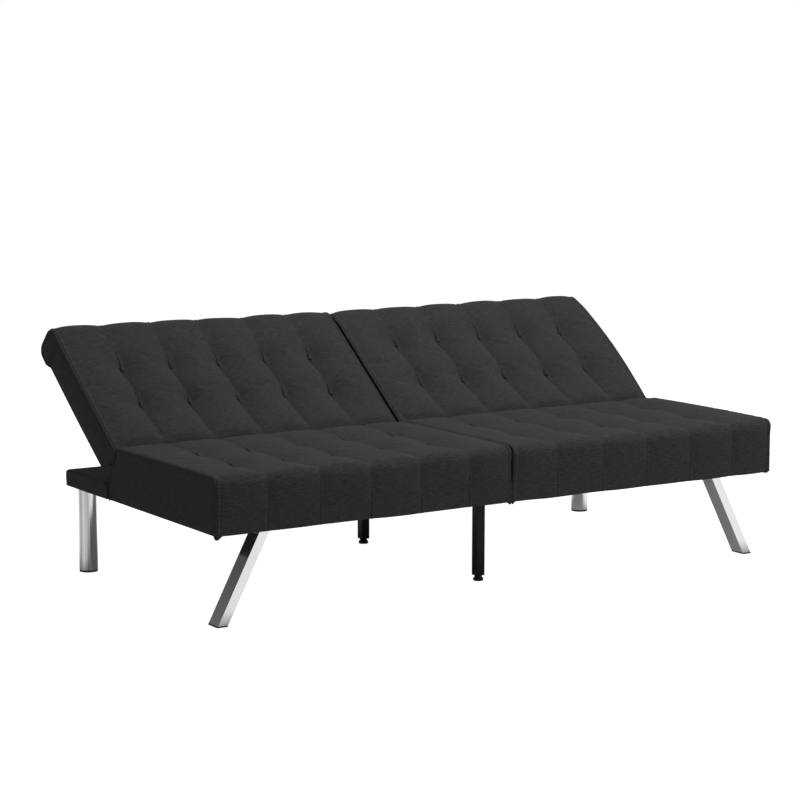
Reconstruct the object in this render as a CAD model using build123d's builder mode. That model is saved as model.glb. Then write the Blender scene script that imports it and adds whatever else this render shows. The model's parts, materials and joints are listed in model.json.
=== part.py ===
from build123d import *
import os
from math import acos, asin, atan2, cos, hypot, pi, radians, sin, tan

# Split-back futon sofa bed: two upholstered seat halves bolted side by side on a timber base, each with
# its own click-clack back, on splayed rectangular front legs, round rear legs and two centre legs.
# Millimetres. X runs along the sofa, -Y is its front, +Z is up. The origin is on the floor under the
# middle of the sofa's footprint, with both backs at their middle, lounging angle.

os.makedirs("parts", exist_ok=True)

# ---- Driving dimensions ----

# Whole sofa
half_length = 895           # middle of the sofa to either end
base_bottom = 242           # floor to the underside
shelf_top = 285             # top of the base behind the seat
seat_top = 388
shelf_depth = 857           # seat front to the rear edge of the base
cover = 1.5                 # upholstery fabric with its backing
dust_cloth = 1              # cloth under the base
seat_front_roll = 12        # rounding of the seat's front top edge
seat_rear_roll = 17         # of its rear top edge, beside the back's nose

# Back, seen from the end: s runs from the pivot up the back, t out of its front face
pivot_from_front = 575      # seat front to the pivot
nose_radius = 20            # pivot to the back's front face, so that the flat bed's top is level
back_length = 486           # pivot to the back's top end
back_thickness = 95
heel = 27                   # pivot to the back's rear lower corner, along s
heel_roll = 5
top_roll = 30               # rounding of the front top edge
end_roll = 14               # rounding of the rear top edge
back_gap = 3                # seat to back when the back lies flat
middle_gap = 6              # left back to right back
rest_angle = 36.8           # front face above horizontal when lounging
upright_angle = 75

# Quilting, the same across the seats and the backs, so that the flat bed's channels meet
channels = 6                # sewn channels across each half
seam_depth = 9              # padded face to the bottom of a seam
crown_trim = 1              # height of a channel's arc that the padded face cuts off flat
tuft_depth = 19             # padded face to the bottom of a tuft
tuft_radius = 60            # rounding of a tuft's well
seat_tufts = (190, 385)     # seat front to its rows of tufts
back_tufts = (162, 324)     # pivot to a back's rows, along s

# Timber
rail = 25                   # width of the base and back rails
deck = 8                    # seat and shelf board
block_length = 188          # corner block that carries a front leg plate
block_depth = 79
rear_block_depth = 70
rear_block_length = 78
under_seat_rail_at = 300    # seat front to a rail's front edge
hinge_rail_at = 640
back_rail_depth = 30        # thickness of the back's rails, front to rear
back_rail_width = 30
back_board = 4
frame_start = 36            # pivot to the lower end of the back's frame
top_foam = 20               # foam over the top end of the back's frame
back_middle_rail_at = 235
panel_edge = 18             # how far the back's cover turns in over the rear

# Click-clack hinge
plate = 3                   # thickness of the seat plate, back arm and pawl
washer_gap = 0.5            # seat plate to back arm
running_fit = 0.05          # radial play of a pin in its hole
head_radius = 16            # plates around the pivot
rivet_radius = 5
rivet_head = 8
rivet_head_height = 2.5
tooth_radius = 25
notch_radius = 3.5
sector_margin = 12          # degrees of toothed edge beyond the first and last notch
pawl_direction = -95        # pivot to the pawl's nose, at rest
pawl_clearance = 1          # tips of the teeth to the middle of the pawl's nose
pawl_nose = 1.2             # half the nose's width
pawl_root = 6.5             # half the pawl's width at its pin
pawl_pin_at = (10, -56)     # from the pivot, rearwards and up
pawl_pin_radius = 3
pawl_pin_head = 5
pawl_pin_head_height = 1.8
stem_half = 14              # half the width of the seat plate's stem
foot_half = 34
foot_height = 28
foot_inset = 3              # base rail's lower edge to the foot
tab = 3                     # thickness of the spring's tab
tab_low, tab_high = -49, -37
spring_wire = 0.35          # radius of the wire
spring_radius = 1.4         # middle of the wire
spring_turns = 7
arm_half = 13               # half the width of the arm's neck
arm_plate_end = 130         # pivot to the end of the arm, along s
arm_margin = 2              # arm to the edges of the back rail it lies on
slot_outward = 4            # hinge slot beyond the base rail's face, each way
slot_inward = 10.5
slot_reach = 32             # pivot to the front of the seat's slot
slot_top = 3                # pivot to the top of the seat's slot
slot_play = 1.5             # stem of the seat plate to the slot in the back's nose
deck_slot_play = 1

# Front legs: rectangular tube that leans outwards
front_tube = 25.4           # across the flats, seen from the front
front_tube_depth = 50
front_wall = 1.5
front_foot_from_end = 24    # sofa's end to the foot's outer edge
front_foot_from_front = 38
lean = 27.7
spigot_length = 50
spigot_wall = 3
spigot_play = 0.1
front_plate = (82, 74)
leg_plate = 3
front_cap = 4
cap_plug = 12

# Rear legs: round tube with a welded plate
rear_tube_radius = 25.4
rear_wall = 1.5
rear_leg_from_end = 48      # sofa's end to the leg's middle
rear_leg_from_rear = 27     # rear edge of the base to the leg's middle
rear_plate = (90, 50.8)
rear_cap = 5

# Centre legs: square tube under the joint between the halves
centre_tube = 25
centre_wall = 1.5
centre_leg_bottom = 15
centre_plate = (90, 60)
centre_leg_from_front = 156
centre_leg_from_rear = 107
plug_length = 20
stud_radius = 4
stud_top = 40
stud_in_pad = 5
pad_radius = 14
pad_height = 8

# Bolts
bolt_radius = 4
bolt_head = 6.5
bolt_head_height = 3.5
bolt_edge = 9               # a plate's edge to a bolt's centre
wood_bolt = 24              # length under the head
small_screw_radius = 3
small_screw_head = 5
small_screw_length = 7
front_frame_bolt = 60       # seat front to the first bolt that joins the halves
middle_frame_bolt = 420
rear_frame_bolt = 157       # rear edge of the base to the last one
nut_radius = 7
nut_height = 6.5

# ---- Worked out ----

rest = radians(rest_angle)
pivot_z = seat_top - nose_radius
back_rear = nose_radius - back_thickness
rest_depth = (
    pivot_from_front + (back_length - end_roll) * cos(rest) + (-back_rear - end_roll) * sin(rest) + end_roll
)
front_y = -rest_depth / 2
pivot_y = front_y + pivot_from_front
rail_bottom = base_bottom + dust_cloth
deck_top = shelf_top - cover
deck_bottom = deck_top - deck
rail_height = deck_bottom - rail_bottom
plate_bottom = rail_bottom - leg_plate
bolt_z = (rail_bottom + deck_bottom) / 2
outer_face = half_length - cover - rail
inner_face = cover + rail
front_foot_out = half_length - front_foot_from_end
rear_leg_out = half_length - rear_leg_from_end
rear_leg_from_front = shelf_depth - rear_leg_from_rear
centre_legs_from_front = (centre_leg_from_front, shelf_depth - centre_leg_from_rear)
frame_bolts_from_front = (front_frame_bolt, middle_frame_bolt, shelf_depth - rear_frame_bolt)
front_leg_top = front_foot_out - front_tube / 2 / cos(radians(lean)) - plate_bottom * tan(radians(lean))
front_leg_from_front = front_foot_from_front + front_tube_depth / 2
hinge_places = {"outer": (outer_face, -1), "inner": (inner_face, 1)}
sides = {"left": -1, "right": 1}

# The back's lower end is a nose about the pivot, then a straight undercut that just touches the heel.
undercut = atan2(back_rear, heel) - acos(nose_radius / hypot(heel, back_rear))
undercut_s, undercut_t = cos(undercut), sin(undercut)
seat_rear = pivot_from_front + heel + back_gap * undercut_s

# Each channel is an arc from seam to seam.
channel_width = half_length / channels
channel_rise = seam_depth + crown_trim
channel_radius = (channel_width ** 2 / 4 + channel_rise ** 2) / (2 * channel_rise)
seams = [channel_width * n for n in range(1, channels)]

# The back's timber frame and the pocket that the foam leaves for it
frame_end = back_length - cover - top_foam
frame_rear = back_rear + cover
frame_front = frame_rear + back_rail_depth
board_front = frame_front + back_board
pocket_near = inner_face - cover
pocket_far = outer_face + cover
back_near = middle_gap / 2
rail_offset = 2 * plate + washer_gap

low = (Align.MIN, Align.MIN)


# ---- Where things go ----

def across(side, near, far):
    """Lower X and width of what lies between two distances from the sofa's middle."""
    return min(side * near, side * far), abs(far - near)


def hinge_span(side, place, start, width):
    """Lower X and width of what starts at an offset from a base rail's face, towards the seat's middle."""
    face, inward = hinge_places[place]
    return across(side, face + inward * start, face + inward * (start + width))


def seat_view(x):
    """End view at X = x: first axis from the seat's front to its rear, second axis up from the floor."""
    return Plane(origin=(x, front_y, 0), x_dir=(0, 1, 0), z_dir=(1, 0, 0))


def pivot_view(x):
    """End view at X = x with its origin on the pivot: first axis to the rear, second axis up."""
    return Plane(origin=(x, pivot_y, pivot_z), x_dir=(0, 1, 0), z_dir=(1, 0, 0))


def back_view(x):
    """End view of a back at X = x with its origin on the pivot: s up the back, t out of its front face."""
    return Plane(origin=(x, pivot_y, pivot_z), x_dir=(0, cos(rest), sin(rest)), z_dir=(1, 0, 0))


def channel_view(side, origin, slope, along):
    """View along a face's channels: first axis from the sofa's middle outwards, second out of the face."""
    rearwards, upwards = cos(slope), sin(slope)
    place = Vector(*origin) + Vector(0, rearwards, upwards) * along
    return Plane(origin=place, x_dir=(side, 0, 0), z_dir=(0, -side * rearwards, -side * upwards))


def front_view(side, from_front):
    """Front view: first axis from the sofa's middle outwards, second axis up from the floor."""
    return Plane(origin=(0, front_y + from_front, 0), x_dir=(side, 0, 0), z_dir=(0, -side, 0))


def plate_bolts(x, from_front, half_x, half_y):
    """Planes under the heads of four bolts in a plate that is fixed from below."""
    return [
        Plane(origin=(x + a * half_x, front_y + from_front + b * half_y, plate_bottom), z_dir=(0, 0, -1))
        for a in (-1, 1)
        for b in (-1, 1)
    ]


def corner_bolts(x, from_front, size):
    """Planes under the heads of the bolts near the four corners of a plate."""
    return plate_bolts(x, from_front, size[0] / 2 - bolt_edge, size[1] / 2 - bolt_edge)


def front_leg_bolts(side):
    """Planes under the heads of the bolts in a front leg plate."""
    return corner_bolts(side * front_leg_top, front_leg_from_front, front_plate)


def rear_leg_bolts(side):
    """Planes under the heads of the bolts in a rear leg plate."""
    return corner_bolts(side * rear_leg_out, rear_leg_from_front, rear_plate)


def centre_leg_bolts():
    """Planes under the heads of the bolts in both centre leg plates, up into the two inner rails."""
    planes = []
    for from_front in centre_legs_from_front:
        planes += plate_bolts(0, from_front, cover + rail / 2, centre_plate[1] / 2 - bolt_edge)
    return planes


def hinge_seat_bolts(side, place):
    """Planes under the heads of the bolts that hold a seat plate's foot to its base rail."""
    face, inward = hinge_places[place]
    x = side * (face + inward * plate)
    z = rail_bottom + foot_inset + foot_height / 2
    return [
        Plane(origin=(x, pivot_y + a * (foot_half - bolt_edge - bolt_head / 2), z), z_dir=(side * inward, 0, 0))
        for a in (-1, 1)
    ]


def hinge_back_bolts(side, place):
    """Planes under the heads of the bolts that hold a back arm to its back rail."""
    face, inward = hinge_places[place]
    x = side * (face + inward * (plate + washer_gap))
    t = (frame_rear + frame_front) / 2
    planes = []
    for s in (frame_start + back_rail_width + bolt_head, arm_plate_end - bolt_edge):
        y = pivot_y + s * cos(rest) - t * sin(rest)
        z = pivot_z + s * sin(rest) + t * cos(rest)
        planes.append(Plane(origin=(x, y, z), z_dir=(-side * inward, 0, 0)))
    return planes


def frame_bolt_planes():
    """Planes under the heads of the bolts that join the two halves."""
    return [
        Plane(origin=(inner_face, front_y + from_front, bolt_z), z_dir=(1, 0, 0))
        for from_front in frame_bolts_from_front
    ]


def set_screw(side):
    """Plane under the head of the screw in the inner face of a front leg, square to that face."""
    angle = radians(lean)
    z = plate_bottom - spigot_length / 2
    x = front_foot_out - front_tube / cos(angle) - z * tan(angle)
    y = front_y + front_leg_from_front
    return Plane(origin=(side * x, y, z), z_dir=(-side * cos(angle), 0, -sin(angle)))


# ---- Shapes used more than once ----

def bar(plane, corner, width, height, length, mode=Mode.ADD):
    """Add or cut a bar whose end rectangle stands on a plane."""
    with BuildSketch(plane) as end:
        with Locations(corner):
            Rectangle(width, height, align=low)
    extrude(end.sketch, amount=length, mode=mode)


def disc(plane, radius, length, mode=Mode.ADD):
    """Add or cut a round bar whose end stands on a plane, along the plane's normal."""
    with BuildSketch(plane) as end:
        Circle(radius)
    extrude(end.sketch, amount=length, mode=mode)


def bolts(planes, radius, length, head, head_height):
    """Add bolts whose heads stand on the planes and whose shanks go the other way."""
    for plane in planes:
        disc(plane, head, head_height)
        disc(plane, radius, -length)


def drill(planes, radius, depth):
    """Cut the holes that bolts of a radius and length pass through."""
    for plane in planes:
        disc(plane, radius + running_fit, -depth, Mode.SUBTRACT)


def seat_outline(plane, inset, bottom):
    """The seat's end view, drawn in from the fabric's outer face by an inset, down to a given height."""
    clear = nose_radius + back_gap + inset
    foot = seat_rear - inset
    foot_z = pivot_z + (clear - undercut_s * (foot - pivot_from_front)) / undercut_t
    front_of_nose = (pivot_from_front - clear, pivot_z)
    under_nose = (pivot_from_front + clear * undercut_s, pivot_z + clear * undercut_t)
    halfway = (undercut - pi) / 2
    with BuildSketch(plane) as outline:
        with BuildLine():
            FilletPolyline(
                front_of_nose,
                (pivot_from_front - clear, seat_top - inset),
                (inset, seat_top - inset),
                (inset, bottom),
                (foot, bottom),
                (foot, foot_z),
                under_nose,
                radius=(seat_rear_roll - inset, seat_front_roll - inset, 0, 0, 0),
            )
            ThreePointArc(
                under_nose,
                (pivot_from_front + clear * cos(halfway), pivot_z + clear * sin(halfway)),
                front_of_nose,
            )
        make_face()
    return outline.sketch


def back_outline(plane, inset):
    """A back's end view, drawn in from the fabric's outer face by an inset."""
    nose = nose_radius - inset
    rear = back_rear + inset
    heel_s = (nose - undercut_t * rear) / undercut_s
    halfway = (undercut + 2 * pi + pi / 2) / 2
    with BuildSketch(plane) as outline:
        with BuildLine():
            FilletPolyline(
                (0, nose),
                (back_length - inset, nose),
                (back_length - inset, rear),
                (heel_s, rear),
                (nose * undercut_s, nose * undercut_t),
                radius=(top_roll - inset, end_roll - inset, heel_roll - inset),
            )
            ThreePointArc(
                (nose * undercut_s, nose * undercut_t),
                (nose * cos(halfway), nose * sin(halfway)),
                (0, nose),
            )
        make_face()
    return outline.sketch


def quilt(side, origin, slope, face, start, end, tufts, inset):
    """Cut a padded face's seams and the wells of its tufts, drawn in from the fabric's outer face by an inset."""
    radius = channel_radius - inset
    middle = face + crown_trim - channel_radius
    spread = asin(channel_width / 2 / radius)
    over = face + channel_rise
    with BuildSketch(channel_view(side, origin, slope, start)) as grooves:
        for seam in seams:
            flanks = []
            for way in (-1, 1):
                crown = seam + way * channel_width / 2
                turns = [-way * spread * share for share in (0.1, 0.5, 1)]
                flanks.append([(crown + radius * sin(turn), middle + radius * cos(turn)) for turn in turns])
            near, far = flanks
            with BuildLine():
                ThreePointArc(*near)
                ThreePointArc(*reversed(far))
                Polyline(far[0], (far[0][0], over), (near[0][0], over), near[0])
            make_face()
    extrude(grooves.sketch, amount=side * (start - end), mode=Mode.SUBTRACT)
    for along in tufts:
        view = channel_view(side, origin, slope, along)
        height = face - tuft_depth + tuft_radius
        with Locations(*[view.location * Location((seam, height, 0)) for seam in seams]):
            Sphere(tuft_radius + inset, mode=Mode.SUBTRACT)


def seat_form(side, inset, bottom):
    """Add a half's quilted seat, drawn in from the fabric's outer face by an inset."""
    x, width = across(side, inset, half_length - inset)
    extrude(seat_outline(seat_view(x), inset, bottom), amount=width)
    quilt(side, (0, front_y, 0), 0, seat_top, -cover, pivot_from_front, seat_tufts, inset)


def back_form(side, inset):
    """Add a quilted back, drawn in from the fabric's outer face by an inset."""
    x, width = across(side, back_near + inset, half_length - inset)
    extrude(back_outline(back_view(x), inset), amount=width)
    start, end = -nose_radius - cover, back_length + cover
    quilt(side, (0, pivot_y, pivot_z), rest, nose_radius, start, end, back_tufts, inset)


def leaning(side, height_low, height_high, inset):
    """Add or cut a slice of the front leg's leaning section, drawn in from the tube by an inset."""
    slope = tan(radians(lean))
    width = front_tube / cos(radians(lean))
    trim = inset / cos(radians(lean))
    with BuildSketch(front_view(side, front_foot_from_front + inset)) as section:
        with BuildLine():
            Polyline(
                (front_foot_out - trim - slope * height_low, height_low),
                (front_foot_out - trim - slope * height_high, height_high),
                (front_foot_out - width + trim - slope * height_high, height_high),
                (front_foot_out - width + trim - slope * height_low, height_low),
                close=True,
            )
        make_face()
    return section.sketch, -side * (front_tube_depth - 2 * inset)


def save(piece, name):
    """Label a finished piece and write its STEP file."""
    piece.part.label = name
    export_step(piece.part, f"parts/{name}.step")


# ---- Base and seat of each half ----

for side_name, side in sides.items():
    with BuildPart() as side_rails:
        for near in (cover, outer_face):
            x, width = across(side, near, near + rail)
            bar(seat_view(x), (cover, rail_bottom), shelf_depth - 2 * cover, rail_height, width)
        for place in hinge_places:
            drill(hinge_seat_bolts(side, place), bolt_radius, wood_bolt)
        drill(rear_leg_bolts(side) + centre_leg_bolts(), bolt_radius, wood_bolt)
        drill(frame_bolt_planes(), bolt_radius, 2 * inner_face)
    save(side_rails, f"{side_name}_seat_side_rails")

    with BuildPart() as cross_rails:
        x, width = across(side, inner_face, outer_face)
        for from_front in (cover, under_seat_rail_at, hinge_rail_at, shelf_depth - cover - rail):
            bar(seat_view(x), (from_front, rail_bottom), rail, rail_height, width)
        drill(front_leg_bolts(side) + rear_leg_bolts(side), bolt_radius, wood_bolt)
    save(cross_rails, f"{side_name}_seat_cross_rails")

    with BuildPart() as deck_board:
        x, width = across(side, cover, half_length - cover)
        bar(seat_view(x), (cover, deck_bottom), shelf_depth - 2 * cover, deck, width)
        for place in hinge_places:
            x, width = hinge_span(side, place, -deck_slot_play, plate + 2 * deck_slot_play)
            slot_start = pivot_from_front - stem_half - deck_slot_play
            slot_length = 2 * (stem_half + deck_slot_play)
            bar(seat_view(x), (slot_start, deck_bottom), slot_length, deck, width, Mode.SUBTRACT)
    save(deck_board, f"{side_name}_deck_board")

    slot_front = pivot_from_front - slot_reach
    slot_height = pivot_z + slot_top - deck_top
    with BuildPart() as seat_foam:
        seat_form(side, cover, deck_top)
        for place in hinge_places:
            x, width = hinge_span(side, place, -slot_outward, slot_outward + slot_inward)
            bar(seat_view(x), (slot_front, deck_top), 2 * slot_reach, slot_height, width, Mode.SUBTRACT)
    save(seat_foam, f"{side_name}_seat_foam")

    with BuildPart() as under_seat_cover:
        seat_form(side, cover, rail_bottom)
    with BuildPart() as seat_cover:
        seat_form(side, 0, rail_bottom)
        add(under_seat_cover.part, mode=Mode.SUBTRACT)
        x, width = across(side, cover, half_length - cover)
        opening = deck_top - rail_bottom
        bar(seat_view(x), (seat_rear - 2 * cover, rail_bottom), 3 * cover, opening, width, Mode.SUBTRACT)
        for place in hinge_places:
            x, width = hinge_span(side, place, -slot_outward, slot_outward + slot_inward)
            bar(seat_view(x), (slot_front, deck_top), 2 * slot_reach, slot_height, width, Mode.SUBTRACT)
        drill(frame_bolt_planes(), bolt_radius, 2 * inner_face)
    save(seat_cover, f"{side_name}_seat_cover")

    with BuildPart() as shelf_cover:
        depth = shelf_depth - seat_rear
        x, width = across(side, 0, half_length)
        bar(seat_view(x), (seat_rear, rail_bottom), depth, shelf_top - rail_bottom, width)
        x, width = across(side, cover, half_length - cover)
        opening = deck_top - rail_bottom
        bar(seat_view(x), (seat_rear, rail_bottom), depth - cover, opening, width, Mode.SUBTRACT)
        drill(frame_bolt_planes(), bolt_radius, 2 * inner_face)
    save(shelf_cover, f"{side_name}_shelf_cover")

    with BuildPart() as dust_cover:
        x, width = across(side, 0, half_length)
        bar(seat_view(x), (0, base_bottom), shelf_depth, dust_cloth, width)
        plates = [
            (side * front_leg_top, front_leg_from_front, front_plate),
            (side * rear_leg_out, rear_leg_from_front, rear_plate),
            (0, centre_legs_from_front[0], centre_plate),
            (0, centre_legs_from_front[1], centre_plate),
        ]
        for x, from_front, size in plates:
            with BuildSketch(Plane.XY.offset(base_bottom)) as opening:
                with Locations((x, front_y + from_front)):
                    Rectangle(size[0] + 2 * cover, size[1] + 2 * cover)
            extrude(opening.sketch, amount=dust_cloth, mode=Mode.SUBTRACT)
    save(dust_cover, f"{side_name}_dust_cover")

with BuildPart() as corner_blocks:
    for side in sides.values():
        x, width = across(side, outer_face - block_length, outer_face)
        bar(seat_view(x), (cover + rail, rail_bottom), block_depth, rail_height, width)
        drill(front_leg_bolts(side), bolt_radius, wood_bolt)
        x, width = across(side, outer_face - rear_block_length, outer_face)
        rear_block_at = shelf_depth - cover - rail - rear_block_depth
        bar(seat_view(x), (rear_block_at, rail_bottom), rear_block_depth, rail_height, width)
        drill(rear_leg_bolts(side), bolt_radius, wood_bolt)
save(corner_blocks, "corner_blocks")


# ---- Backs ----

for side_name, side in sides.items():
    with BuildPart() as back_side_rails:
        for place in hinge_places:
            x, width = hinge_span(side, place, rail_offset, rail)
            bar(back_view(x), (frame_start, frame_rear), frame_end - frame_start, back_rail_depth, width)
            drill(hinge_back_bolts(side, place), bolt_radius, wood_bolt)
    save(back_side_rails, f"{side_name}_back_side_rails")

    with BuildPart() as back_cross_rails:
        near, far = inner_face + rail_offset + rail, outer_face - rail_offset - rail
        x, width = across(side, near, far)
        for s in (frame_start, back_middle_rail_at, frame_end - back_rail_width):
            bar(back_view(x), (s, frame_rear), back_rail_width, back_rail_depth, width)
    save(back_cross_rails, f"{side_name}_back_cross_rails")

    slot_s = -slot_reach - nose_radius
    slot_t = frame_rear - 2 * cover
    neck_end = frame_start + 2 * arm_half
    with BuildPart() as board:
        x, width = across(side, pocket_near, pocket_far)
        bar(back_view(x), (frame_start, frame_front), frame_end - frame_start, back_board, width)
        for place in hinge_places:
            x, width = hinge_span(side, place, -slot_outward, slot_outward + slot_inward)
            bar(back_view(x), (slot_s, slot_t), neck_end - slot_s, back_thickness, width, Mode.SUBTRACT)
    save(board, f"{side_name}_back_board")

    slot_height = stem_half + slot_play - slot_t
    with BuildPart() as back_foam:
        back_form(side, cover)
        x, width = across(side, pocket_near, pocket_far)
        pocket = board_front - frame_rear
        bar(back_view(x), (frame_start, frame_rear), frame_end - frame_start, pocket, width, Mode.SUBTRACT)
        for place in hinge_places:
            x, width = hinge_span(side, place, -slot_outward, slot_outward + slot_inward)
            bar(back_view(x), (slot_s, slot_t), neck_end - slot_s, slot_height, width, Mode.SUBTRACT)
            disc(back_view(x), head_radius + slot_play, width, Mode.SUBTRACT)
    save(back_foam, f"{side_name}_back_foam")

    with BuildPart() as under_back_cover:
        back_form(side, cover)
    with BuildPart() as back_cover:
        back_form(side, 0)
        add(under_back_cover.part, mode=Mode.SUBTRACT)
        panel_start = frame_start
        panel_length = back_length - end_roll - panel_edge - panel_start
        x, width = across(side, back_near + panel_edge, half_length - panel_edge)
        bar(back_view(x), (panel_start, back_rear), panel_length, cover, width, Mode.SUBTRACT)
        for place in hinge_places:
            x, width = hinge_span(side, place, -slot_outward, slot_outward + slot_inward)
            bar(back_view(x), (slot_s, slot_t), frame_start - slot_s, slot_height, width, Mode.SUBTRACT)
    save(back_cover, f"{side_name}_back_cover")

    with BuildPart() as rear_panel:
        x, width = across(side, back_near + panel_edge, half_length - panel_edge)
        bar(back_view(x), (panel_start, back_rear), panel_length, cover, width)
    save(rear_panel, f"{side_name}_back_rear_panel")


# ---- Click-clack hinges ----

nose_radius_of_pawl = tooth_radius + pawl_clearance
nose_at = Vector(cos(radians(pawl_direction)), sin(radians(pawl_direction))) * nose_radius_of_pawl
pin_at = Vector(*pawl_pin_at)
along_pawl = (nose_at - pin_at).normalized()
across_pawl = Vector(along_pawl.Y, -along_pawl.X)
spring_height = (tab_low + tab_high) / 2
foot_low = rail_bottom + foot_inset - pivot_z
stages = (0, rest_angle, upright_angle)
sector_start = pawl_direction + sector_margin
sector_end = pawl_direction - upright_angle - sector_margin
arm_neck_end = Vector(frame_start + arm_half + arm_margin, (frame_rear + frame_front) / 2)
neck_turn = atan2(arm_neck_end.Y, arm_neck_end.X)

for side_name, side in sides.items():
    for place in hinge_places:
        x, width = hinge_span(side, place, 0, plate)
        with BuildPart() as seat_plate:
            with BuildSketch(pivot_view(x)) as blank:
                Circle(head_radius)
                with Locations((-stem_half, foot_low)):
                    Rectangle(2 * stem_half, -foot_low, align=low)
                with Locations((-foot_half, foot_low)):
                    Rectangle(2 * foot_half, foot_height, align=low)
                Circle(rivet_radius + running_fit, mode=Mode.SUBTRACT)
                with Locations(pawl_pin_at):
                    Circle(pawl_pin_radius + running_fit, mode=Mode.SUBTRACT)
            extrude(blank.sketch, amount=width)
            tab_x, tab_width = hinge_span(side, place, 0, rail_offset)
            bar(pivot_view(tab_x), (-stem_half - tab, tab_low), tab, tab_high - tab_low, tab_width)
            drill(hinge_seat_bolts(side, place), bolt_radius, wood_bolt)
        save(seat_plate, f"{side_name}_{place}_hinge_seat_plate")

        x, width = hinge_span(side, place, plate + washer_gap, plate)
        with BuildPart() as back_arm:
            with BuildSketch(back_view(x)) as blank:
                Circle(tooth_radius)
                reach = 2 * tooth_radius
                wedge = [radians(a) for a in (sector_start, (sector_start + sector_end) / 2, sector_end)]
                Polygon(
                    (0, 0),
                    *[(reach * cos(a), reach * sin(a)) for a in wedge],
                    align=None,
                    mode=Mode.INTERSECT,
                )
                Circle(head_radius)
                for stage in stages:
                    turn = radians(pawl_direction - stage)
                    with Locations((tooth_radius * cos(turn), tooth_radius * sin(turn))):
                        Circle(notch_radius, mode=Mode.SUBTRACT)
                with Locations((arm_neck_end.X / 2, arm_neck_end.Y / 2)):
                    Rectangle(arm_neck_end.length, 2 * arm_half, rotation=neck_turn * 180 / pi)
                with Locations((frame_start + arm_margin, frame_rear + arm_margin)):
                    arm_length = arm_plate_end - frame_start - arm_margin
                    Rectangle(arm_length, back_rail_depth - 2 * arm_margin, align=low)
                Circle(rivet_radius + running_fit, mode=Mode.SUBTRACT)
            extrude(blank.sketch, amount=width)
            drill(hinge_back_bolts(side, place), bolt_radius, wood_bolt)
        save(back_arm, f"{side_name}_{place}_hinge_back_arm")

        with BuildPart() as pawl:
            with BuildSketch(pivot_view(x)) as blank:
                with Locations(pawl_pin_at):
                    Circle(pawl_root)
                Polygon(
                    *[
                        (point.X, point.Y)
                        for point in (
                            pin_at + across_pawl * pawl_root,
                            nose_at + across_pawl * pawl_nose,
                            nose_at - across_pawl * pawl_nose,
                            pin_at - across_pawl * pawl_root,
                        )
                    ],
                    align=None,
                )
                with Locations(pawl_pin_at):
                    Circle(pawl_pin_radius + running_fit, mode=Mode.SUBTRACT)
            extrude(blank.sketch, amount=width)
        save(pawl, f"{side_name}_{place}_hinge_pawl")

with BuildPart() as hinge_rivets:
    for side in sides.values():
        for place in hinge_places:
            heads = (
                (0, 0, rivet_radius, rivet_head, rivet_head_height),
                (*pawl_pin_at, pawl_pin_radius, pawl_pin_head, pawl_pin_head_height),
            )
            for y, z, radius, head, head_height in heads:
                for start, length, size in (
                    (-head_height, head_height, head),
                    (0, rail_offset, radius),
                    (rail_offset, head_height, head),
                ):
                    x, width = hinge_span(side, place, start, length)
                    disc(Plane(origin=(x, pivot_y + y, pivot_z + z), z_dir=(1, 0, 0)), size, width)
save(hinge_rivets, "hinge_rivets")

for side_name, side in sides.items():
    with BuildPart() as pawl_springs:
        for place in hinge_places:
            x, width = hinge_span(side, place, plate + washer_gap, plate)
            start = Plane(
                origin=(x + width / 2, pivot_y - stem_half + spring_wire, pivot_z + spring_height),
                x_dir=(1, 0, 0),
                z_dir=(0, 1, 0),
            )
            spring_length = stem_half - 2 * spring_wire
            coil = start.location * Helix(spring_length / spring_turns, spring_length, spring_radius)
            with BuildSketch(Plane(origin=coil @ 0, z_dir=coil % 0)) as wire:
                Circle(spring_wire)
            sweep(wire.sketch, path=coil)
    save(pawl_springs, f"{side_name}_pawl_springs")


# ---- Legs ----

for side_name, side in sides.items():
    with BuildPart() as front_leg:
        section, depth = leaning(side, front_cap, plate_bottom, 0)
        extrude(section, amount=depth)
        section, depth = leaning(side, front_cap, plate_bottom, front_wall)
        extrude(section, amount=depth, mode=Mode.SUBTRACT)
        drill([set_screw(side)], small_screw_radius, small_screw_length)
    save(front_leg, f"{side_name}_front_leg")

    with BuildPart() as rear_leg:
        foot = Plane(origin=(side * rear_leg_out, front_y + rear_leg_from_front, rear_cap), z_dir=(0, 0, 1))
        disc(foot, rear_tube_radius, plate_bottom - rear_cap)
        disc(foot, rear_tube_radius - rear_wall, plate_bottom - rear_cap, Mode.SUBTRACT)
        with BuildSketch(Plane.XY.offset(plate_bottom)) as top_plate:
            with Locations((side * rear_leg_out, front_y + rear_leg_from_front)):
                Rectangle(*rear_plate)
        extrude(top_plate.sketch, amount=leg_plate)
        drill(rear_leg_bolts(side), bolt_radius, wood_bolt)
    save(rear_leg, f"{side_name}_rear_leg")

with BuildPart() as front_leg_plates:
    for side in sides.values():
        with BuildSketch(Plane.XY.offset(plate_bottom)) as top_plate:
            with Locations((side * front_leg_top, front_y + front_leg_from_front)):
                Rectangle(*front_plate)
        extrude(top_plate.sketch, amount=leg_plate)
        drill(front_leg_bolts(side), bolt_radius, wood_bolt)
        low_end = plate_bottom - spigot_length
        section, depth = leaning(side, low_end, plate_bottom, front_wall + spigot_play)
        extrude(section, amount=depth)
        section, depth = leaning(side, low_end, plate_bottom, front_wall + spigot_play + spigot_wall)
        extrude(section, amount=depth, mode=Mode.SUBTRACT)
        drill([set_screw(side)], small_screw_radius, small_screw_length)
save(front_leg_plates, "front_leg_plates")

with BuildPart() as front_foot_caps:
    for side in sides.values():
        section, depth = leaning(side, 0, front_cap, 0)
        extrude(section, amount=depth)
        section, depth = leaning(side, front_cap, front_cap + cap_plug, front_wall + running_fit)
        extrude(section, amount=depth)
save(front_foot_caps, "front_foot_caps")

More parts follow.
